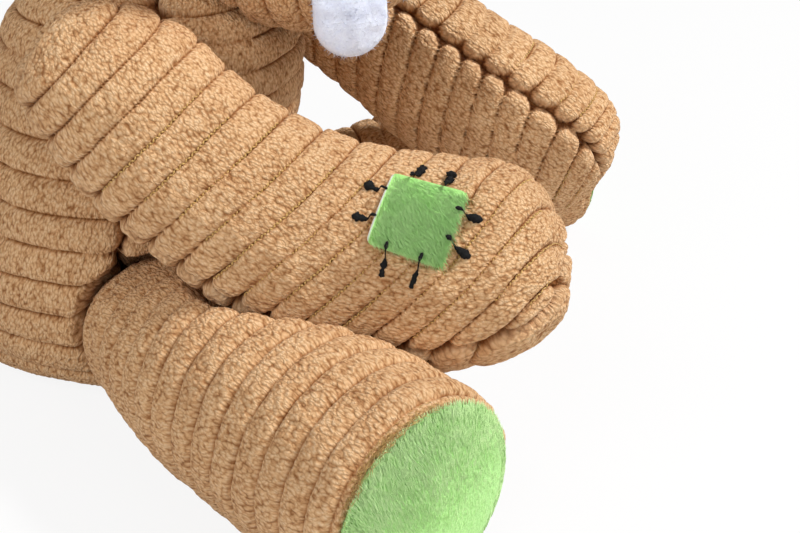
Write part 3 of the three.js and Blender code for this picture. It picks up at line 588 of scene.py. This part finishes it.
def fibres(name, roots, normals, combed, pile, rng, share=1.0):
    """Tapering hairs that lean from the normal towards the direction in which they are combed."""
    count = len(roots)
    _, length, width, lift, spread = PILES[pile]
    lean = unit(normals * lift + combed + rng.normal(0, spread, (count, 3)))
    reach = (length * share * rng.uniform(*HAIR["lengths"], count))[:, None]
    across = unit(np.cross(lean, normals + rng.normal(0, HAIR["twist"], (count, 3))))
    other = np.cross(lean, across)
    corners = [roots + towards(across, other, math.radians(d)) * width / 2 for d in (0, 120, 240)]
    points = np.stack([*corners, roots + lean * reach], 1).reshape(-1, 3)
    start = 4 * np.arange(count)[:, None]
    faces = np.concatenate([start + np.array(t) for t in ((2, 1, 0), (0, 1, 3), (1, 2, 3), (2, 0, 3))])
    return make(name, points, faces, shade=np.repeat(rng.uniform(0, 1, count), 4), tip=np.tile([0, 0, 0, 1], count))


def beads(name, paths):
    """Chains of small slanted beads of gold along paths, each a pair of a line of points and its normals."""
    step = GOLD["step"]
    points, faces, count = [], [], 0
    for line, normals in paths:
        lengths = np.concatenate([[0], np.cumsum(np.linalg.norm(np.diff(line, axis=0), axis=1))])
        places = np.arange(0.5 * step, lengths[-1], step)
        centre = np.stack([np.interp(places, lengths, line[:, k]) for k in range(3)], -1)
        normal = unit(np.stack([np.interp(places, lengths, normals[:, k]) for k in range(3)], -1))
        ahead = unit(np.gradient(centre, axis=0))
        across = np.cross(normal, ahead)
        slant = np.where(np.arange(len(places)) % 2, GOLD["slant"], -GOLD["slant"])[:, None]
        long = unit(ahead + slant * across) * step * GOLD["length_share"]
        wide = np.cross(normal, unit(long)) * GOLD["width"]
        tall = normal * GOLD["height"]
        corners = np.stack([centre + v for v in (long, -long, wide, -wide, tall, -tall)], 1)
        start = count + 6 * np.arange(len(places))[:, None]
        count += 6 * len(places)
        points.append(corners.reshape(-1, 3))
        for a, b, c in ((0, 2, 4), (2, 1, 4), (1, 3, 4), (3, 0, 4), (2, 0, 5), (1, 2, 5), (3, 1, 5), (0, 3, 5)):
            faces.append(start + np.array([a, b, c]))
    return make(name, np.concatenate(points), np.concatenate(faces))


def plate(outline, centre, half, edge, rings=16):
    """A flat piece with a rounded rim, as flat places, heights and the faces between them."""
    out = np.array(outline) - centre
    shares = np.sin(np.linspace(0, math.pi / 2, rings + 1))[1:]
    reach = np.linalg.norm(out, axis=1).mean()
    inset = np.clip((1 - shares) * reach / edge, 0, 1)
    height = half * np.sqrt(np.clip(1 - (1 - inset) ** 2, 0, 1))
    stack = list(zip(shares, -height)) + list(zip(shares[:-1], height[:-1]))[::-1]
    flat = np.vstack([centre, *[centre + s * out for s, _ in stack], centre])
    heights = np.concatenate([[-half], *[np.full(len(out), h) for _, h in stack], [half]])
    return flat, heights, stack_faces(len(stack), len(out))


def pebble(middle, axes, halves, rows=40, sides=56, lumps=0.0):
    """An oval ball: its points, its normals and its faces."""
    tilt = np.linspace(-math.pi / 2, math.pi / 2, rows + 2)[1:-1, None]
    turn = np.linspace(0, 2 * math.pi, sides, endpoint=False)
    ball = np.stack([np.cos(tilt) * np.cos(turn), np.cos(tilt) * np.sin(turn), np.sin(tilt) * np.ones(sides)], -1)
    ball = np.vstack([[0, 0, -1], ball.reshape(-1, 3), [0, 0, 1]])
    points = middle + (ball * halves) @ np.array(axes)
    out = unit((ball / halves) @ np.array(axes))
    if lumps:
        points = points + out * lumps * (tufts(points, CLOTH["tuft"]) - 0.5)[:, None]
    return points, out, stack_faces(rows, sides)


# Materials.
def fill_inputs(tree, node, inputs):
    for key, value in inputs.items():
        if isinstance(value, bpy.types.NodeSocket):
            tree.links.new(value, node.inputs[key])
        else:
            node.inputs[key].default_value = value


def add_node(tree, kind, inputs, output=0, **settings):
    made = tree.nodes.new("ShaderNode" + kind)
    for key, value in settings.items():
        setattr(made, key, value)
    fill_inputs(tree, made, inputs)
    return made.outputs[output]


class Recipe:
    """A material's nodes, each made and linked in one call."""

    def __init__(self, name, roughness, sheen=0.0, sheen_roughness=0.5, specular=0.3):
        self.material = bpy.data.materials.new(name)
        self.material.use_nodes = True
        self.tree = self.material.node_tree
        self.shader = self.tree.nodes["Principled BSDF"]
        fill_inputs(self.tree, self.shader, {
            "Roughness": roughness, "Sheen Weight": sheen, "Sheen Roughness": sheen_roughness,
            "Specular IOR Level": specular,
        })
        self.place = self.tree.nodes.new("ShaderNodeTexCoord").outputs["Object"]

    def node(self, kind, inputs, output=0, **settings):
        return add_node(self.tree, kind, inputs, output, **settings)

    def noise(self, size, detail=2.0, roughness=0.5, place=None):
        inputs = {"Vector": place or self.place, "Scale": 1 / size, "Detail": detail, "Roughness": roughness}
        return self.node("TexNoise", inputs, "Fac")

    def voronoi(self, size, place):
        return self.node("TexVoronoi", {"Vector": place, "Scale": 1 / size}, "Distance")

    def value(self, name):
        return self.node("Attribute", {}, "Fac", attribute_name=name)

    def vector(self, name, scale):
        place = self.node("Attribute", {}, "Vector", attribute_name=name)
        return self.node("VectorMath", {0: place, 1: scale}, operation="MULTIPLY")

    def math(self, operation, a, b):
        return self.node("Math", {0: a, 1: b}, operation=operation)

    def ramp(self, factor, stops):
        made = self.tree.nodes.new("ShaderNodeValToRGB")
        self.tree.links.new(factor, made.inputs["Fac"])
        ramp = made.color_ramp
        while len(ramp.elements) < len(stops):
            ramp.elements.new(0.5)
        for element, (place, colour) in zip(ramp.elements, stops):
            element.position = place
            element.color = (*colour, 1)
        return made.outputs["Color"]

    def mix(self, factor, a, b, blend="MIX"):
        a, b = ((*value, 1) if isinstance(value, tuple) else value for value in (a, b))
        return self.node("Mix", {0: factor, 6: a, 7: b}, 2, data_type="RGBA", blend_type=blend)

    def distorted(self, size, amount, place=None):
        """The place, shaken by fine noise."""
        place = place or self.place
        shake = self.node("TexNoise", {"Vector": place, "Scale": 1 / size, "Detail": 1.0}, "Color")
        shake = self.node("VectorMath", {0: shake, 1: (0.5, 0.5, 0.5)}, operation="SUBTRACT")
        shake = self.node("VectorMath", {0: shake, "Scale": amount}, operation="SCALE")
        return self.node("VectorMath", {0: place, 1: shake}, operation="ADD")

    def colour(self, value):
        self.tree.links.new(value, self.shader.inputs["Base Color"])

    def bump(self, height, distance, strength=1.0):
        inputs = {"Height": height, "Distance": distance, "Strength": strength}
        self.tree.links.new(self.node("Bump", inputs), self.shader.inputs["Normal"])


def corduroy_material():
    """Worm-like tufts with painted light on their tips and painted shade, red-brown, in the thin gaps between them,
    painted shade down in the grooves, and a painted highlight on the ridges by the seams.
    """
    r = Recipe("corduroy_cloth", 0.95, sheen=0.06, specular=0.08)
    place = r.distorted(0.0013, 0.0011, r.vector("cloth", (0.58, 1, 1)))
    cells = r.voronoi(0.00084, place)
    fine = r.noise(0.0004, 3.0, 0.65)
    patchy = r.noise(0.0042, 3.0, 0.6)
    gap = cells
    for part, weight in ((fine, 0.3), (patchy, 0.42)):
        gap = r.math("ADD", gap, r.math("MULTIPLY", r.math("SUBTRACT", part, 0.5), weight))
    # Painted light and shade: the ramp is light at the middle of each tuft and dark red-brown in the gaps between
    # tufts.
    colour = r.ramp(gap, [
        (0.15, (0.82, 0.57, 0.345)), (0.42, (0.71, 0.445, 0.24)), (0.66, (0.56, 0.315, 0.15)),
        (0.95, (0.31, 0.135, 0.05)),
    ])
    # Painted shade: the colour is darkened down in the grooves, where the wale attribute is low.
    groove = r.ramp(r.value("wale"), [(0.0, (0.34, 0.21, 0.12)), (0.25, (0.7, 0.57, 0.46)), (0.5, (1, 1, 1))])
    colour = r.mix(1.0, colour, groove, "MULTIPLY")
    # Painted highlight: ridge crests near a seam are mixed halfway towards a light tan.
    lip = r.math("MULTIPLY", r.value("seam"), r.value("wale"))
    colour = r.mix(r.math("MULTIPLY", lip, 0.5), colour, (0.78, 0.58, 0.38))
    broad = r.ramp(r.noise(0.02, 3.0), [(0.3, (0.92, 0.88, 0.84)), (0.7, (1.06, 1.06, 1.05))])
    r.colour(r.mix(1.0, colour, broad, "MULTIPLY"))
    r.bump(r.math("SUBTRACT", 1.0, gap), 0.0009, 0.8)
    return r.material


def fur_material(name, root, tip, streak):
    """Hairs that are darker at the root, with lighter and darker ones mixed."""
    r = Recipe(name, 0.8, sheen=0.08, sheen_roughness=0.4, specular=0.12)
    along = r.ramp(r.value("tip"), [(0.0, root), (1.0, tip)])
    single = r.ramp(r.value("shade"), [(0.0, (0.94, 0.95, 0.92)), (1.0, (1.05, 1.04, 1.06))])
    colour = r.mix(1.0, along, single, "MULTIPLY")
    clumps = r.ramp(r.noise(0.007, 2.0), [(0.35, streak), (0.6, (1, 1, 1))])
    r.colour(r.mix(1.0, colour, clumps, "MULTIPLY"))
    r.bump(r.noise(0.0004, 2.0), 0.0002, 0.4)
    return r.material


def backing_material(name, colour, dark, cut=None):
    """The woven ground under a pile. A cut edge shows where the mesh's own "cut" value says."""
    r = Recipe(name, 0.9, sheen=0.1)
    weave = r.noise(0.0008, 3.0)
    ground = r.ramp(weave, [(0.3, dark), (0.7, colour)])
    r.colour(r.mix(r.value("cut"), ground, cut) if cut else ground)
    r.bump(weave, 0.0004, 0.8)
    return r.material


def felt_material():
    r = Recipe("felt_cloth", 0.95, sheen=0.35, sheen_roughness=0.6, specular=0.1)
    tangle = r.noise(0.0011, 5.0, 0.7, r.distorted(0.002, 0.002))
    cloudy = r.noise(0.005, 2.0)
    colour = r.ramp(tangle, [(0.25, (0.72, 0.76, 0.92)), (0.65, (0.82, 0.86, 0.98))])
    r.colour(r.mix(1.0, colour, r.ramp(cloudy, [(0.3, (0.93, 0.93, 0.95)), (0.7, (1.05, 1.05, 1.04))]), "MULTIPLY"))
    r.bump(tangle, 0.0005, 0.6)
    return r.material


def thread_material(name, dark, light, size, roughness=0.4):
    """Glossy twisted strands."""
    r = Recipe(name, roughness, specular=0.2)
    strands = r.noise(size, 2.0, 0.6)
    r.colour(r.ramp(strands, [(0.35, dark), (0.7, light)]))
    r.bump(strands, size * 0.6, 0.8)
    return r.material


def moulded_material(name, colour, worn):
    r = Recipe(name, 0.42, specular=0.5)
    grain = r.noise(0.0006, 3.0)
    r.colour(r.mix(r.noise(0.01, 3.0), colour, worn))
    r.bump(grain, 0.00008, 0.5)
    return r.material


# The camera, which comes first, and the light.
def stand(name, data, place, across, upward, away):
    made = linked(name, data)
    basis = np.column_stack([across, upward, away])
    made.matrix_world = Matrix.Translation(place) @ Matrix(basis.tolist()).to_4x4()
    return made


def add_camera():
    bearing, down, roll = (math.radians(CAMERA[k]) for k in ("bearing", "down", "roll"))
    ahead = towards(towards(Y, X, bearing), -Z, down)
    right = unit(np.cross(ahead, Z))
    up = np.cross(right, ahead)
    data = bpy.data.cameras.new("camera")
    data.lens, data.sensor_width, data.clip_start = CAMERA["lens"], CAMERA["sensor"], CAMERA["near"]
    camera = stand("camera", data, CAMERA["place"], towards(right, up, roll), towards(up, -right, roll), -ahead)
    bpy.context.scene.camera = camera


def seen_factor(tree):
    """1 for what the camera sees, and for what gloss and glass show."""
    path = tree.nodes.new("ShaderNodeLightPath")
    total = path.outputs["Is Camera Ray"]
    for name in ("Is Glossy Ray", "Is Transmission Ray"):
        total = add_node(tree, "Math", {0: total, 1: path.outputs[name]}, operation="MAXIMUM")
    return total


def add_surroundings():
    world = bpy.data.worlds.new("studio")
    world.use_nodes = True
    tree = world.node_tree
    light = tree.nodes["Background"]
    fill_inputs(tree, light, {"Color": (*WORLD["colour"], 1), "Strength": WORLD["strength"]})
    white = add_node(tree, "Background", {"Color": (1, 1, 1, 1), "Strength": 1})
    mixed = add_node(tree, "MixShader", {0: seen_factor(tree), 1: light.outputs[0], 2: white})
    fill_inputs(tree, tree.nodes["World Output"], {"Surface": mixed})
    bpy.context.scene.world = world
    for name, place, size, power in LAMPS:
        lamp = bpy.data.lights.new(name, "AREA")
        lamp.size, lamp.energy = size, power
        away = unit(np.array(place) - np.array(LAMP_TARGET))
        across = unit(np.cross(Z, away))
        stand(name, lamp, place, across, np.cross(away, across), away)


def add_floor():
    corners = np.array([(-1, -1, 0), (1, -1, 0), (1, 1, 0), (-1, 1, 0)]) * FLOOR["half"]
    floor = make("floor", corners, [(0, 1, 2, 3)])
    r = Recipe("floor_paper", FLOOR["roughness"], specular=0.5)
    r.shader.inputs["Base Color"].default_value = (FLOOR["grey"], FLOOR["grey"], FLOOR["grey"], 1)
    share = r.math("MULTIPLY", seen_factor(r.tree), FLOOR["glow"])
    glow = r.node("Emission", {"Strength": 1})
    mixed = r.node("MixShader", {0: share, 1: r.shader.outputs[0], 2: glow})
    fill_inputs(r.tree, r.tree.nodes["Material Output"], {"Surface": mixed})
    floor.data.materials.append(r.material)
    floor.location.z = -FLOOR["drop"]


# The pieces.
def add_torso(material):
    rooms = [swept_room(form, name + suffix, ROOM["limb"])
             for name in SIDES for form, suffix in ((arm_form(name), "_shoulder"), (leg_form(name), "_hip"))]
    weave = Weave(torso_form(), TORSO["pitch"], TORSO["panels"], 11)
    cloth("torso", weave, TORSO["spacing"], TORSO, material, rooms, True)


def groove_threads(name, weave, stretch, rng):
    """Beads of metallic thread in an arm's grooves. Stretch says where round it each starts and how far it goes."""
    form, paths = weave.form, []
    last = int(form.arc[-1] / weave.pitch)
    for k in range(last):
        if not ARM["threaded"][0] < (k + 0.5) / last < ARM["threaded"][1]:
            continue
        start, turn = rng.uniform(*stretch[0]), rng.uniform(*stretch[1])
        angle = np.radians(start + np.linspace(0, turn, GOLD["points"]))
        arc = weave.groove(k + 0.5, angle)
        line = form.surface(arc, angle, -ARM["wale_depth"] * GOLD["depth_share"])[0]
        outer = form.surface(arc, angle, GOLD["outer"])[0]
        keep = weave.at(arc, angle)[3] > SEAM["round"]
        if keep.sum() > GOLD["fewest"]:
            paths.append((line[keep], unit(outer - line)[keep]))
    return beads(name, paths)


def add_arm(name, material, gold):
    body, pose = name + "_arm", ARM_POSES[name]
    salt = 21 + SIDES[name]
    weave = Weave(arm_form(name), pose["pitch"], pose["panels"], salt, pose["parallel"], pose["twist"])
    cloth(body, weave, pose["spacing"], ARM, material)
    rng = np.random.default_rng(5 + SIDES[name])
    finished(groove_threads(body + "_gold_thread", weave, pose["thread"], rng), body, gold)


def add_leg(name, material):
    hip, tangent, _, _ = leg_frame(name)
    arm_room = swept_room(arm_form(name), name + "_hip", ROOM["limb"], False, ROOM["leg_turns"])

    def sole_room(points):
        q = points - hip
        along = q @ tangent
        radius = np.linalg.norm(q - along[:, None] * tangent, axis=1)
        return (along > LEG["reach"] - SOLE["well"]) & (radius < SOLE["radius"] - SOLE["well_inset"])

    weave = Weave(leg_form(name), LEG["pitch"], LEG["panels"], 31 + SIDES[name])
    cloth(name + "_leg", weave, LEG_POSES[name]["spacing"], LEG, material, (arm_room, sole_room), True)


def add_sole(name, fur, backing, gold):
    hip, tangent, across, up = leg_frame(name)
    body, rim, half = name + "_leg", SOLE["radius"], SOLE["thickness"] / 2
    outline = circle(rim, np.linspace(0, 2 * math.pi, 96, endpoint=False))
    flat, heights, faces = plate(outline, np.zeros(2), half, SOLE["edge"], SOLE["rings"])
    centre = hip + tangent * (LEG["reach"] - half)

    def placed(places, height):
        dome = SOLE["dome"] * (1 - (np.linalg.norm(places, axis=1) / rim) ** 2)
        lift = height + dome * (height > 0)
        return centre + on_plane(places, across, up) + lift[:, None] * tangent

    base = make(name + "_sole_base", placed(flat, heights), faces)
    finished(base, body, backing, (name + "_sole",))
    rng = np.random.default_rng(40 + SIDES[name])
    count = PILES["sole"][0]
    radius = rim * np.sqrt(rng.uniform(0, 1, count))
    places = circle(radius, rng.uniform(0, 2 * math.pi, count))
    roots = placed(places, np.full(count, half - HAIR["sunk"]))
    outward = on_plane(places, across, up) / rim
    swirl = noise(roots, SOLE["swirl"], 3)[:, None] * across + noise(roots, SOLE["swirl"], 4)[:, None] * up
    ways = (up, SIDES[name] * across, outward, swirl)
    combed = unit(sum(share * way for share, way in zip(SOLE["comb"], ways)))
    share = 1 - SOLE["rim_share"] * smoothstep(SOLE["rim_start"], 1, radius / rim)
    normals = unit(tangent + SOLE["flare"] * outward)
    pile = fibres(name + "_sole_fur", roots, normals, combed, "sole", rng, share)
    finished(pile, body, fur)
    count = PILES["fray"][0]
    angle = np.radians(FRAY["start"] + rng.triangular(-FRAY["turn"], 0, FRAY["turn"], count))
    radial = on_plane(circle(1, angle), -SIDES[name] * across, up)
    roots = hip + tangent * (LEG["reach"] - LEG["edge"] * rng.uniform(0, FRAY["deep"], count))[:, None]
    roots = roots + radial * (LEG["foot"] - FRAY["sunk"])
    along_rim = unit(np.cross(tangent, radial)) * rng.choice([-1, 1], count)[:, None]
    combed = unit(along_rim + FRAY["outward"] * tangent)
    finished(fibres(name + "_sole_fray", roots, radial, combed, "fray", rng), body, gold)


def add_head(material):
    ball = bmesh.new()
    bmesh.ops.create_icosphere(ball, subdivisions=HEAD["fineness"], radius=1)
    out = np.array([v.co for v in ball.verts])
    faces = [[v.index for v in f.verts] for f in ball.faces]
    ball.free()
    middle = np.array(HEAD["middle"]) * np.ones_like(out)
    far_skull, far_muzzle = (form.reached(middle, out) for form in (skull_form(), muzzle_form()))
    blend = HEAD["blend"]
    lead = (far_muzzle - far_skull) / blend
    far = far_skull + blend * np.logaddexp(0, lead)
    room = swept_room(torso_form(), "neck_nod", ROOM["neck"], False)
    far = far - sunk(middle + far[:, None] * out, -out, [room])
    points = middle + far[:, None] * out
    rings = np.where(lead < 0, points[:, 2] / HEAD["skull_pitch"], points[:, 1] / HEAD["muzzle_pitch"])
    amount, size = HEAD["wobble"]
    wale = ridge(rings + amount * noise(points, size, 2), HEAD["roundness"])
    seam = bell(lead, HEAD["seam_width"])
    local = points[:, [2, 0, 1]]
    fluff = tufts_on(local, 9)
    # The seam attribute also places the painted highlight on the ridges by the skull and muzzle seam.
    piece = make("head_cloth", points, faces, wale=wale, seam=seam, cloth=local)
    normals = np.zeros(len(points) * 3)
    piece.data.vertex_normals.foreach_get("vector", normals)
    shift = -HEAD["wale_depth"] * (1 - wale) - HEAD["seam_depth"] * seam + CLOTH["tuft_height"] * (fluff - 0.5)
    points = points + shift[:, None] * normals.reshape(-1, 3)
    piece.data.vertices.foreach_set("co", points.ravel())
    piece.data.update()
    finished(piece, "head", material, ("head_skin", "head_filling"))


def skull_front(height):
    origin = np.array([[0, -SKULL["forward"], height]])
    return -SKULL["forward"] - skull_form().reached(origin, -Y)[0]


def add_face(satin, plush):
    for name, side in SIDES.items():
        place = (side * EYE["side"], skull_front(EYE["height"]) + EYE["inset"], EYE["height"])
        points, out, faces = pebble(place, (X, Y, Z), (EYE["radius"], EYE["dome"], EYE["radius"]))
        strands = np.cos(points[:, 0] * 2 * math.pi / EYE["strand"])
        eye = make(name + "_eye_stitching", points + out * EYE["strand_height"] * strands[:, None], faces)
        finished(eye, "head", satin, (name + "_eye",))
    tip = (0, -MUZZLE["start"] - MUZZLE["length"] + NOSE["inset"], NOSE["height"])
    points, _, faces = pebble(tip, (X, Y, Z), (NOSE["side"], NOSE["depth"], NOSE["up"]), lumps=NOSE["lumps"])
    finished(make("nose_plush", points, faces), "head", plush, ("nose",))


def add_ears(material, fur, backing):
    for name, side in SIDES.items():
        tilt = math.radians(EAR["tilt"]) * side
        across, upward = towards(X, -Z, tilt), towards(Z, X, tilt)
        place = np.array([side * EAR["side"], -EAR["forward"], EAR["height"]])
        axes = (across, Y, upward)
        halves = np.array([EAR["across"], EAR["depth"], EAR["up"]])
        points, out, faces = pebble(place, axes, halves, 70, 90)
        wale = ridge((points - place) @ across / EAR["pitch"], EAR["roundness"])
        local = points[:, [2, 0, 1]]
        fluff = tufts_on(local, 3)
        shift = -EAR["wale_depth"] * (1 - wale) + CLOTH["tuft_height"] * (fluff - 0.5)
        # rim marks the ear's edge, where the seam attribute places a painted highlight on the ridges.
        rim = np.exp(-np.abs((points - place) @ Y) / EAR["rim"])
        ear = make(name + "_ear_cloth", points + out * shift[:, None], faces, wale=wale, seam=rim, cloth=local)
        finished(ear, "head", material, (name + "_ear",))
        deep = (EAR["depth"] + LINING["thickness"]) / 2
        front = halves * (LINING["share"], 0, LINING["share"]) + (0, deep, 0)
        points, out, faces = pebble(place - Y * deep, axes, front, 30, 48)
        lining = make(name + "_ear_lining_base", points, faces)
        finished(lining, "head", backing, (name + "_ear_lining",))
        rng = np.random.default_rng(60 + side)
        seen = np.flatnonzero(out[:, 1] < -LINING["front"])
        chosen = rng.choice(seen, PILES["ear"][0])
        roots = points[chosen] + rng.normal(0, LINING["scatter"], (len(chosen), 3))
        combed = np.tile(upward, (len(chosen), 1))
        finished(fibres(name + "_ear_fur", roots, out[chosen], combed, "ear", rng), "head", fur)


def add_teeth(felt):
    for name, side in SIDES.items():
        bearing, lean = math.radians(TOOTH["bearing"]), math.radians(TOOTH["lean"])
        outward = towards(-Y, side * X, bearing)
        across = np.cross(outward, Z)
        down = towards(-Z, outward, lean)
        normal = np.cross(across, down)
        origin = np.array([side * TOOTH["side"], -TOOTH["forward"], TOOTH["top"]])
        half, drop = TOOTH["width"] / 2, TOOTH["length"] - TOOTH["width"] / 2
        bottom = circle(half, np.linspace(math.pi, 0, 40)) + (0, drop)
        right = np.stack([np.full(18, half), np.linspace(drop, 0, 20)[1:-1]], -1)
        top = np.stack([np.linspace(half, -half, 30), np.zeros(30)], -1)
        outline = np.vstack([bottom, right, top, right[::-1] * (-1, 1)])
        centre = np.array([0, TOOTH["length"] / 2])
        flat, heights, faces = plate(outline, centre, TOOTH["thickness"] / 2, TOOTH["edge"])
        bulge = TOOTH["bulge"] * (1 - ((flat - centre) ** 2).sum(1) / half**2)
        points = origin + on_plane(flat, across, down) + (heights + bulge)[:, None] * normal
        height, size = TOOTH["lumps"]
        points = points + height * noise(points, size, 6)[:, None] * normal
        tooth = make(name + "_tooth_felt", points, faces)
        body = name + "_tooth_flap"
        finished(tooth, body, felt, (name + "_tooth",))
        rng = np.random.default_rng(70 + side)
        chosen = rng.integers(0, len(points), PILES["tooth"][0])
        sideways, face = TOOTH["fuzz"]
        out = (points[chosen] - points.mean(0)) * sideways + np.sign(heights[chosen])[:, None] * normal * face
        loose = unit(rng.normal(0, 1, (len(chosen), 3)))
        fuzz = fibres(name + "_tooth_fuzz", points[chosen], unit(out), loose, "tooth", rng)
        finished(fuzz, body, felt)


class PatchPlace:
    """The patch's own plane on the right arm: flat places to points on the arm's cloth."""

    def __init__(self):
        self.form = arm_form("right")
        centre, side, up = self.form.place(np.array([PATCH["along"]]))
        around, turn = math.radians(PATCH["around"]), math.radians(PATCH["turn"])
        self.origin = centre[0]
        self.outward = towards(side[0], up[0], around)
        tangent = np.cross(side[0], up[0])
        across = np.cross(self.outward, tangent)
        self.first = towards(tangent, across, turn)
        self.second = np.cross(self.outward, self.first)

    def points(self, flat, grow):
        starts = self.origin + on_plane(flat, self.first, self.second)
        return starts + self.form.reached(starts, self.outward, grow)[:, None] * self.outward


def add_patch(fur, backing):
    place = PatchPlace()
    half, corner = PATCH["size"] / 2, PATCH["corner"]
    turn = np.linspace(0, math.pi / 2, 6)
    corners = np.array([(1, 1), (-1, 1), (-1, -1), (1, -1)]) * (half - corner)
    outline = []
    for k, (middle, after) in enumerate(zip(corners, np.roll(corners, -1, 0))):
        outline.append(middle + circle(corner, turn + k * math.pi / 2))
        outline.append(outline[-1][-1] + np.linspace(0, 1, 18)[1:-1, None] * (after - middle))
    flat, heights, faces = plate(np.vstack(outline), np.zeros(2), PATCH["thickness"] / 2, PATCH["edge"])
    points = place.points(flat, PATCH["gap"]) + (heights + PATCH["thickness"] / 2)[:, None] * place.outward
    cut = smoothstep(half - PATCH["cut"][0], half - PATCH["cut"][1], -flat[:, 0])
    base = make("arm_patch_base", points, faces, cut=cut)
    finished(base, "right_arm", backing, ("arm_patch",))
    rng = np.random.default_rng(80)
    spots = rng.uniform(-half, half, (PILES["patch"][0], 2)) * PATCH["pile_share"] + (PATCH["pile_shift"], 0)
    roots = place.points(spots, PATCH["gap"]) + PATCH["thickness"] * PATCH["pile_share"] * place.outward
    swirl = noise(roots, PATCH["swirl"], 8)[:, None] * place.second
    ways = (place.first, place.second, swirl)
    combed = unit(sum(share * way for share, way in zip(PATCH["comb"], ways)))
    normals = np.tile(place.outward, (len(roots), 1))
    pile = fibres("arm_patch_fur", roots, normals, combed, "patch", rng)
    finished(pile, "right_arm", fur)


def add_stitches(thread):
    place = PatchPlace()
    middle = PATCH["size"] / 2 + STITCH["length"] * (0.5 - STITCH["overlap_share"])
    shift = PATCH["size"] * STITCH["edge_share"]
    rng = np.random.default_rng(90)
    rows, sides = STITCH["rows"], STITCH["sides"]
    share = np.linspace(0, 1, rows)
    angle = np.linspace(0, 2 * math.pi, sides, endpoint=False)
    twist = 1 + STITCH["strand_share"] * np.cos(STITCH["strands"] * angle + share[:, None] * STITCH["twist"])
    for k, (far, late, flip) in enumerate(np.ndindex(2, 2, 2)):
        edge, slot = 2 * far - 1, 2 * late - 1
        run = (share - 0.5) * STITCH["length"] * edge * rng.uniform(*STITCH["spread"])
        lean = math.tan(math.radians(rng.uniform(-STITCH["lean"], STITCH["lean"])))
        flat = np.stack([edge * middle + run, slot * shift + run * lean], -1)
        flat = flat[:, ::-1] if flip else flat
        over = np.abs(flat).max(1) < PATCH["size"] / 2 + STITCH["over"]
        lift = np.where(over, PATCH["thickness"] + STITCH["lift"], STITCH["low"])
        for _ in range(3):
            lift[1:-1] = (lift[:-2] + lift[1:-1] + lift[2:]) / 3
        line = place.points(flat, 0.0) + lift[:, None] * place.outward
        across = np.cross(place.outward, unit(np.gradient(line, axis=0)))
        thick = STITCH["thin"] + (STITCH["thick"] - STITCH["thin"]) * smoothstep(*STITCH["thicken"], share)
        thick = thick * np.sqrt(np.clip(1 - (2 * share - 1) ** STITCH["blunt"], STITCH["tip"], 1))
        amount, size = STITCH["knots"]
        thick = (thick * (1 + amount * noise(line, size, k + 1)))[:, None] * twist
        wide = (thick * np.cos(angle))[..., None] * across[:, None]
        tall = (STITCH["flatness"] * thick * np.sin(angle))[..., None] * place.outward
        points = np.vstack([line[0], (line[:, None] + wide + tall).reshape(-1, 3), line[-1]])
        stitch = make(f"patch_stitch_{k + 1}_thread", points, stack_faces(rows, sides))
        finished(stitch, "right_arm", thread, (f"patch_stitch_{k + 1}",))


def dress_hidden(vinyl, reed):
    """The squeaker's own solids stay, with moulded materials."""
    for name, material in (("squeaker_bulb", vinyl), ("squeaker_plug", vinyl), ("squeaker_reed", reed)):
        mesh = frame["nodes"][name].data
        mesh.materials.clear()
        mesh.materials.append(material)


bpy.context.scene.view_settings.view_transform = "Standard"
add_camera()
add_surroundings()
add_floor()

corduroy = corduroy_material()
gold = thread_material("gold_thread", (0.45, 0.26, 0.08), (0.8, 0.55, 0.22), 0.0005)
black_thread = thread_material("black_thread", (0.002, 0.002, 0.002), (0.011, 0.011, 0.011), 0.0005, 0.85)
sole_fur = fur_material("sole_fur", (0.5, 0.86, 0.31), (0.8, 0.98, 0.58), (0.88, 0.94, 0.84))
patch_fur = fur_material("patch_fur", (0.46, 0.85, 0.28), (0.68, 0.98, 0.48), (0.86, 0.94, 0.82))
backing = backing_material("fur_ground", (0.5, 0.84, 0.32), (0.4, 0.76, 0.24))
patch_ground = backing_material("patch_ground", (0.44, 0.8, 0.27), (0.34, 0.7, 0.19), (0.86, 0.88, 0.84))
felt = felt_material()
satin = thread_material("satin_stitches", (0.006, 0.006, 0.008), (0.04, 0.04, 0.045), 0.0007)
plush = backing_material("nose_cloth", (0.035, 0.032, 0.035), (0.012, 0.011, 0.012))
vinyl = moulded_material("squeaker_vinyl", (0.8, 0.78, 0.7), (0.72, 0.69, 0.6))
reed = moulded_material("squeaker_reed_plastic", (0.03, 0.03, 0.035), (0.05, 0.05, 0.055))

add_torso(corduroy)
add_head(corduroy)
add_face(satin, plush)
add_ears(corduroy, sole_fur, backing)
add_teeth(felt)
for limb_side in SIDES:
    add_arm(limb_side, corduroy, gold)
    add_leg(limb_side, corduroy)
    add_sole(limb_side, sole_fur, backing, gold)
add_patch(patch_fur, patch_ground)
add_stitches(black_thread)
dress_hidden(vinyl, reed)
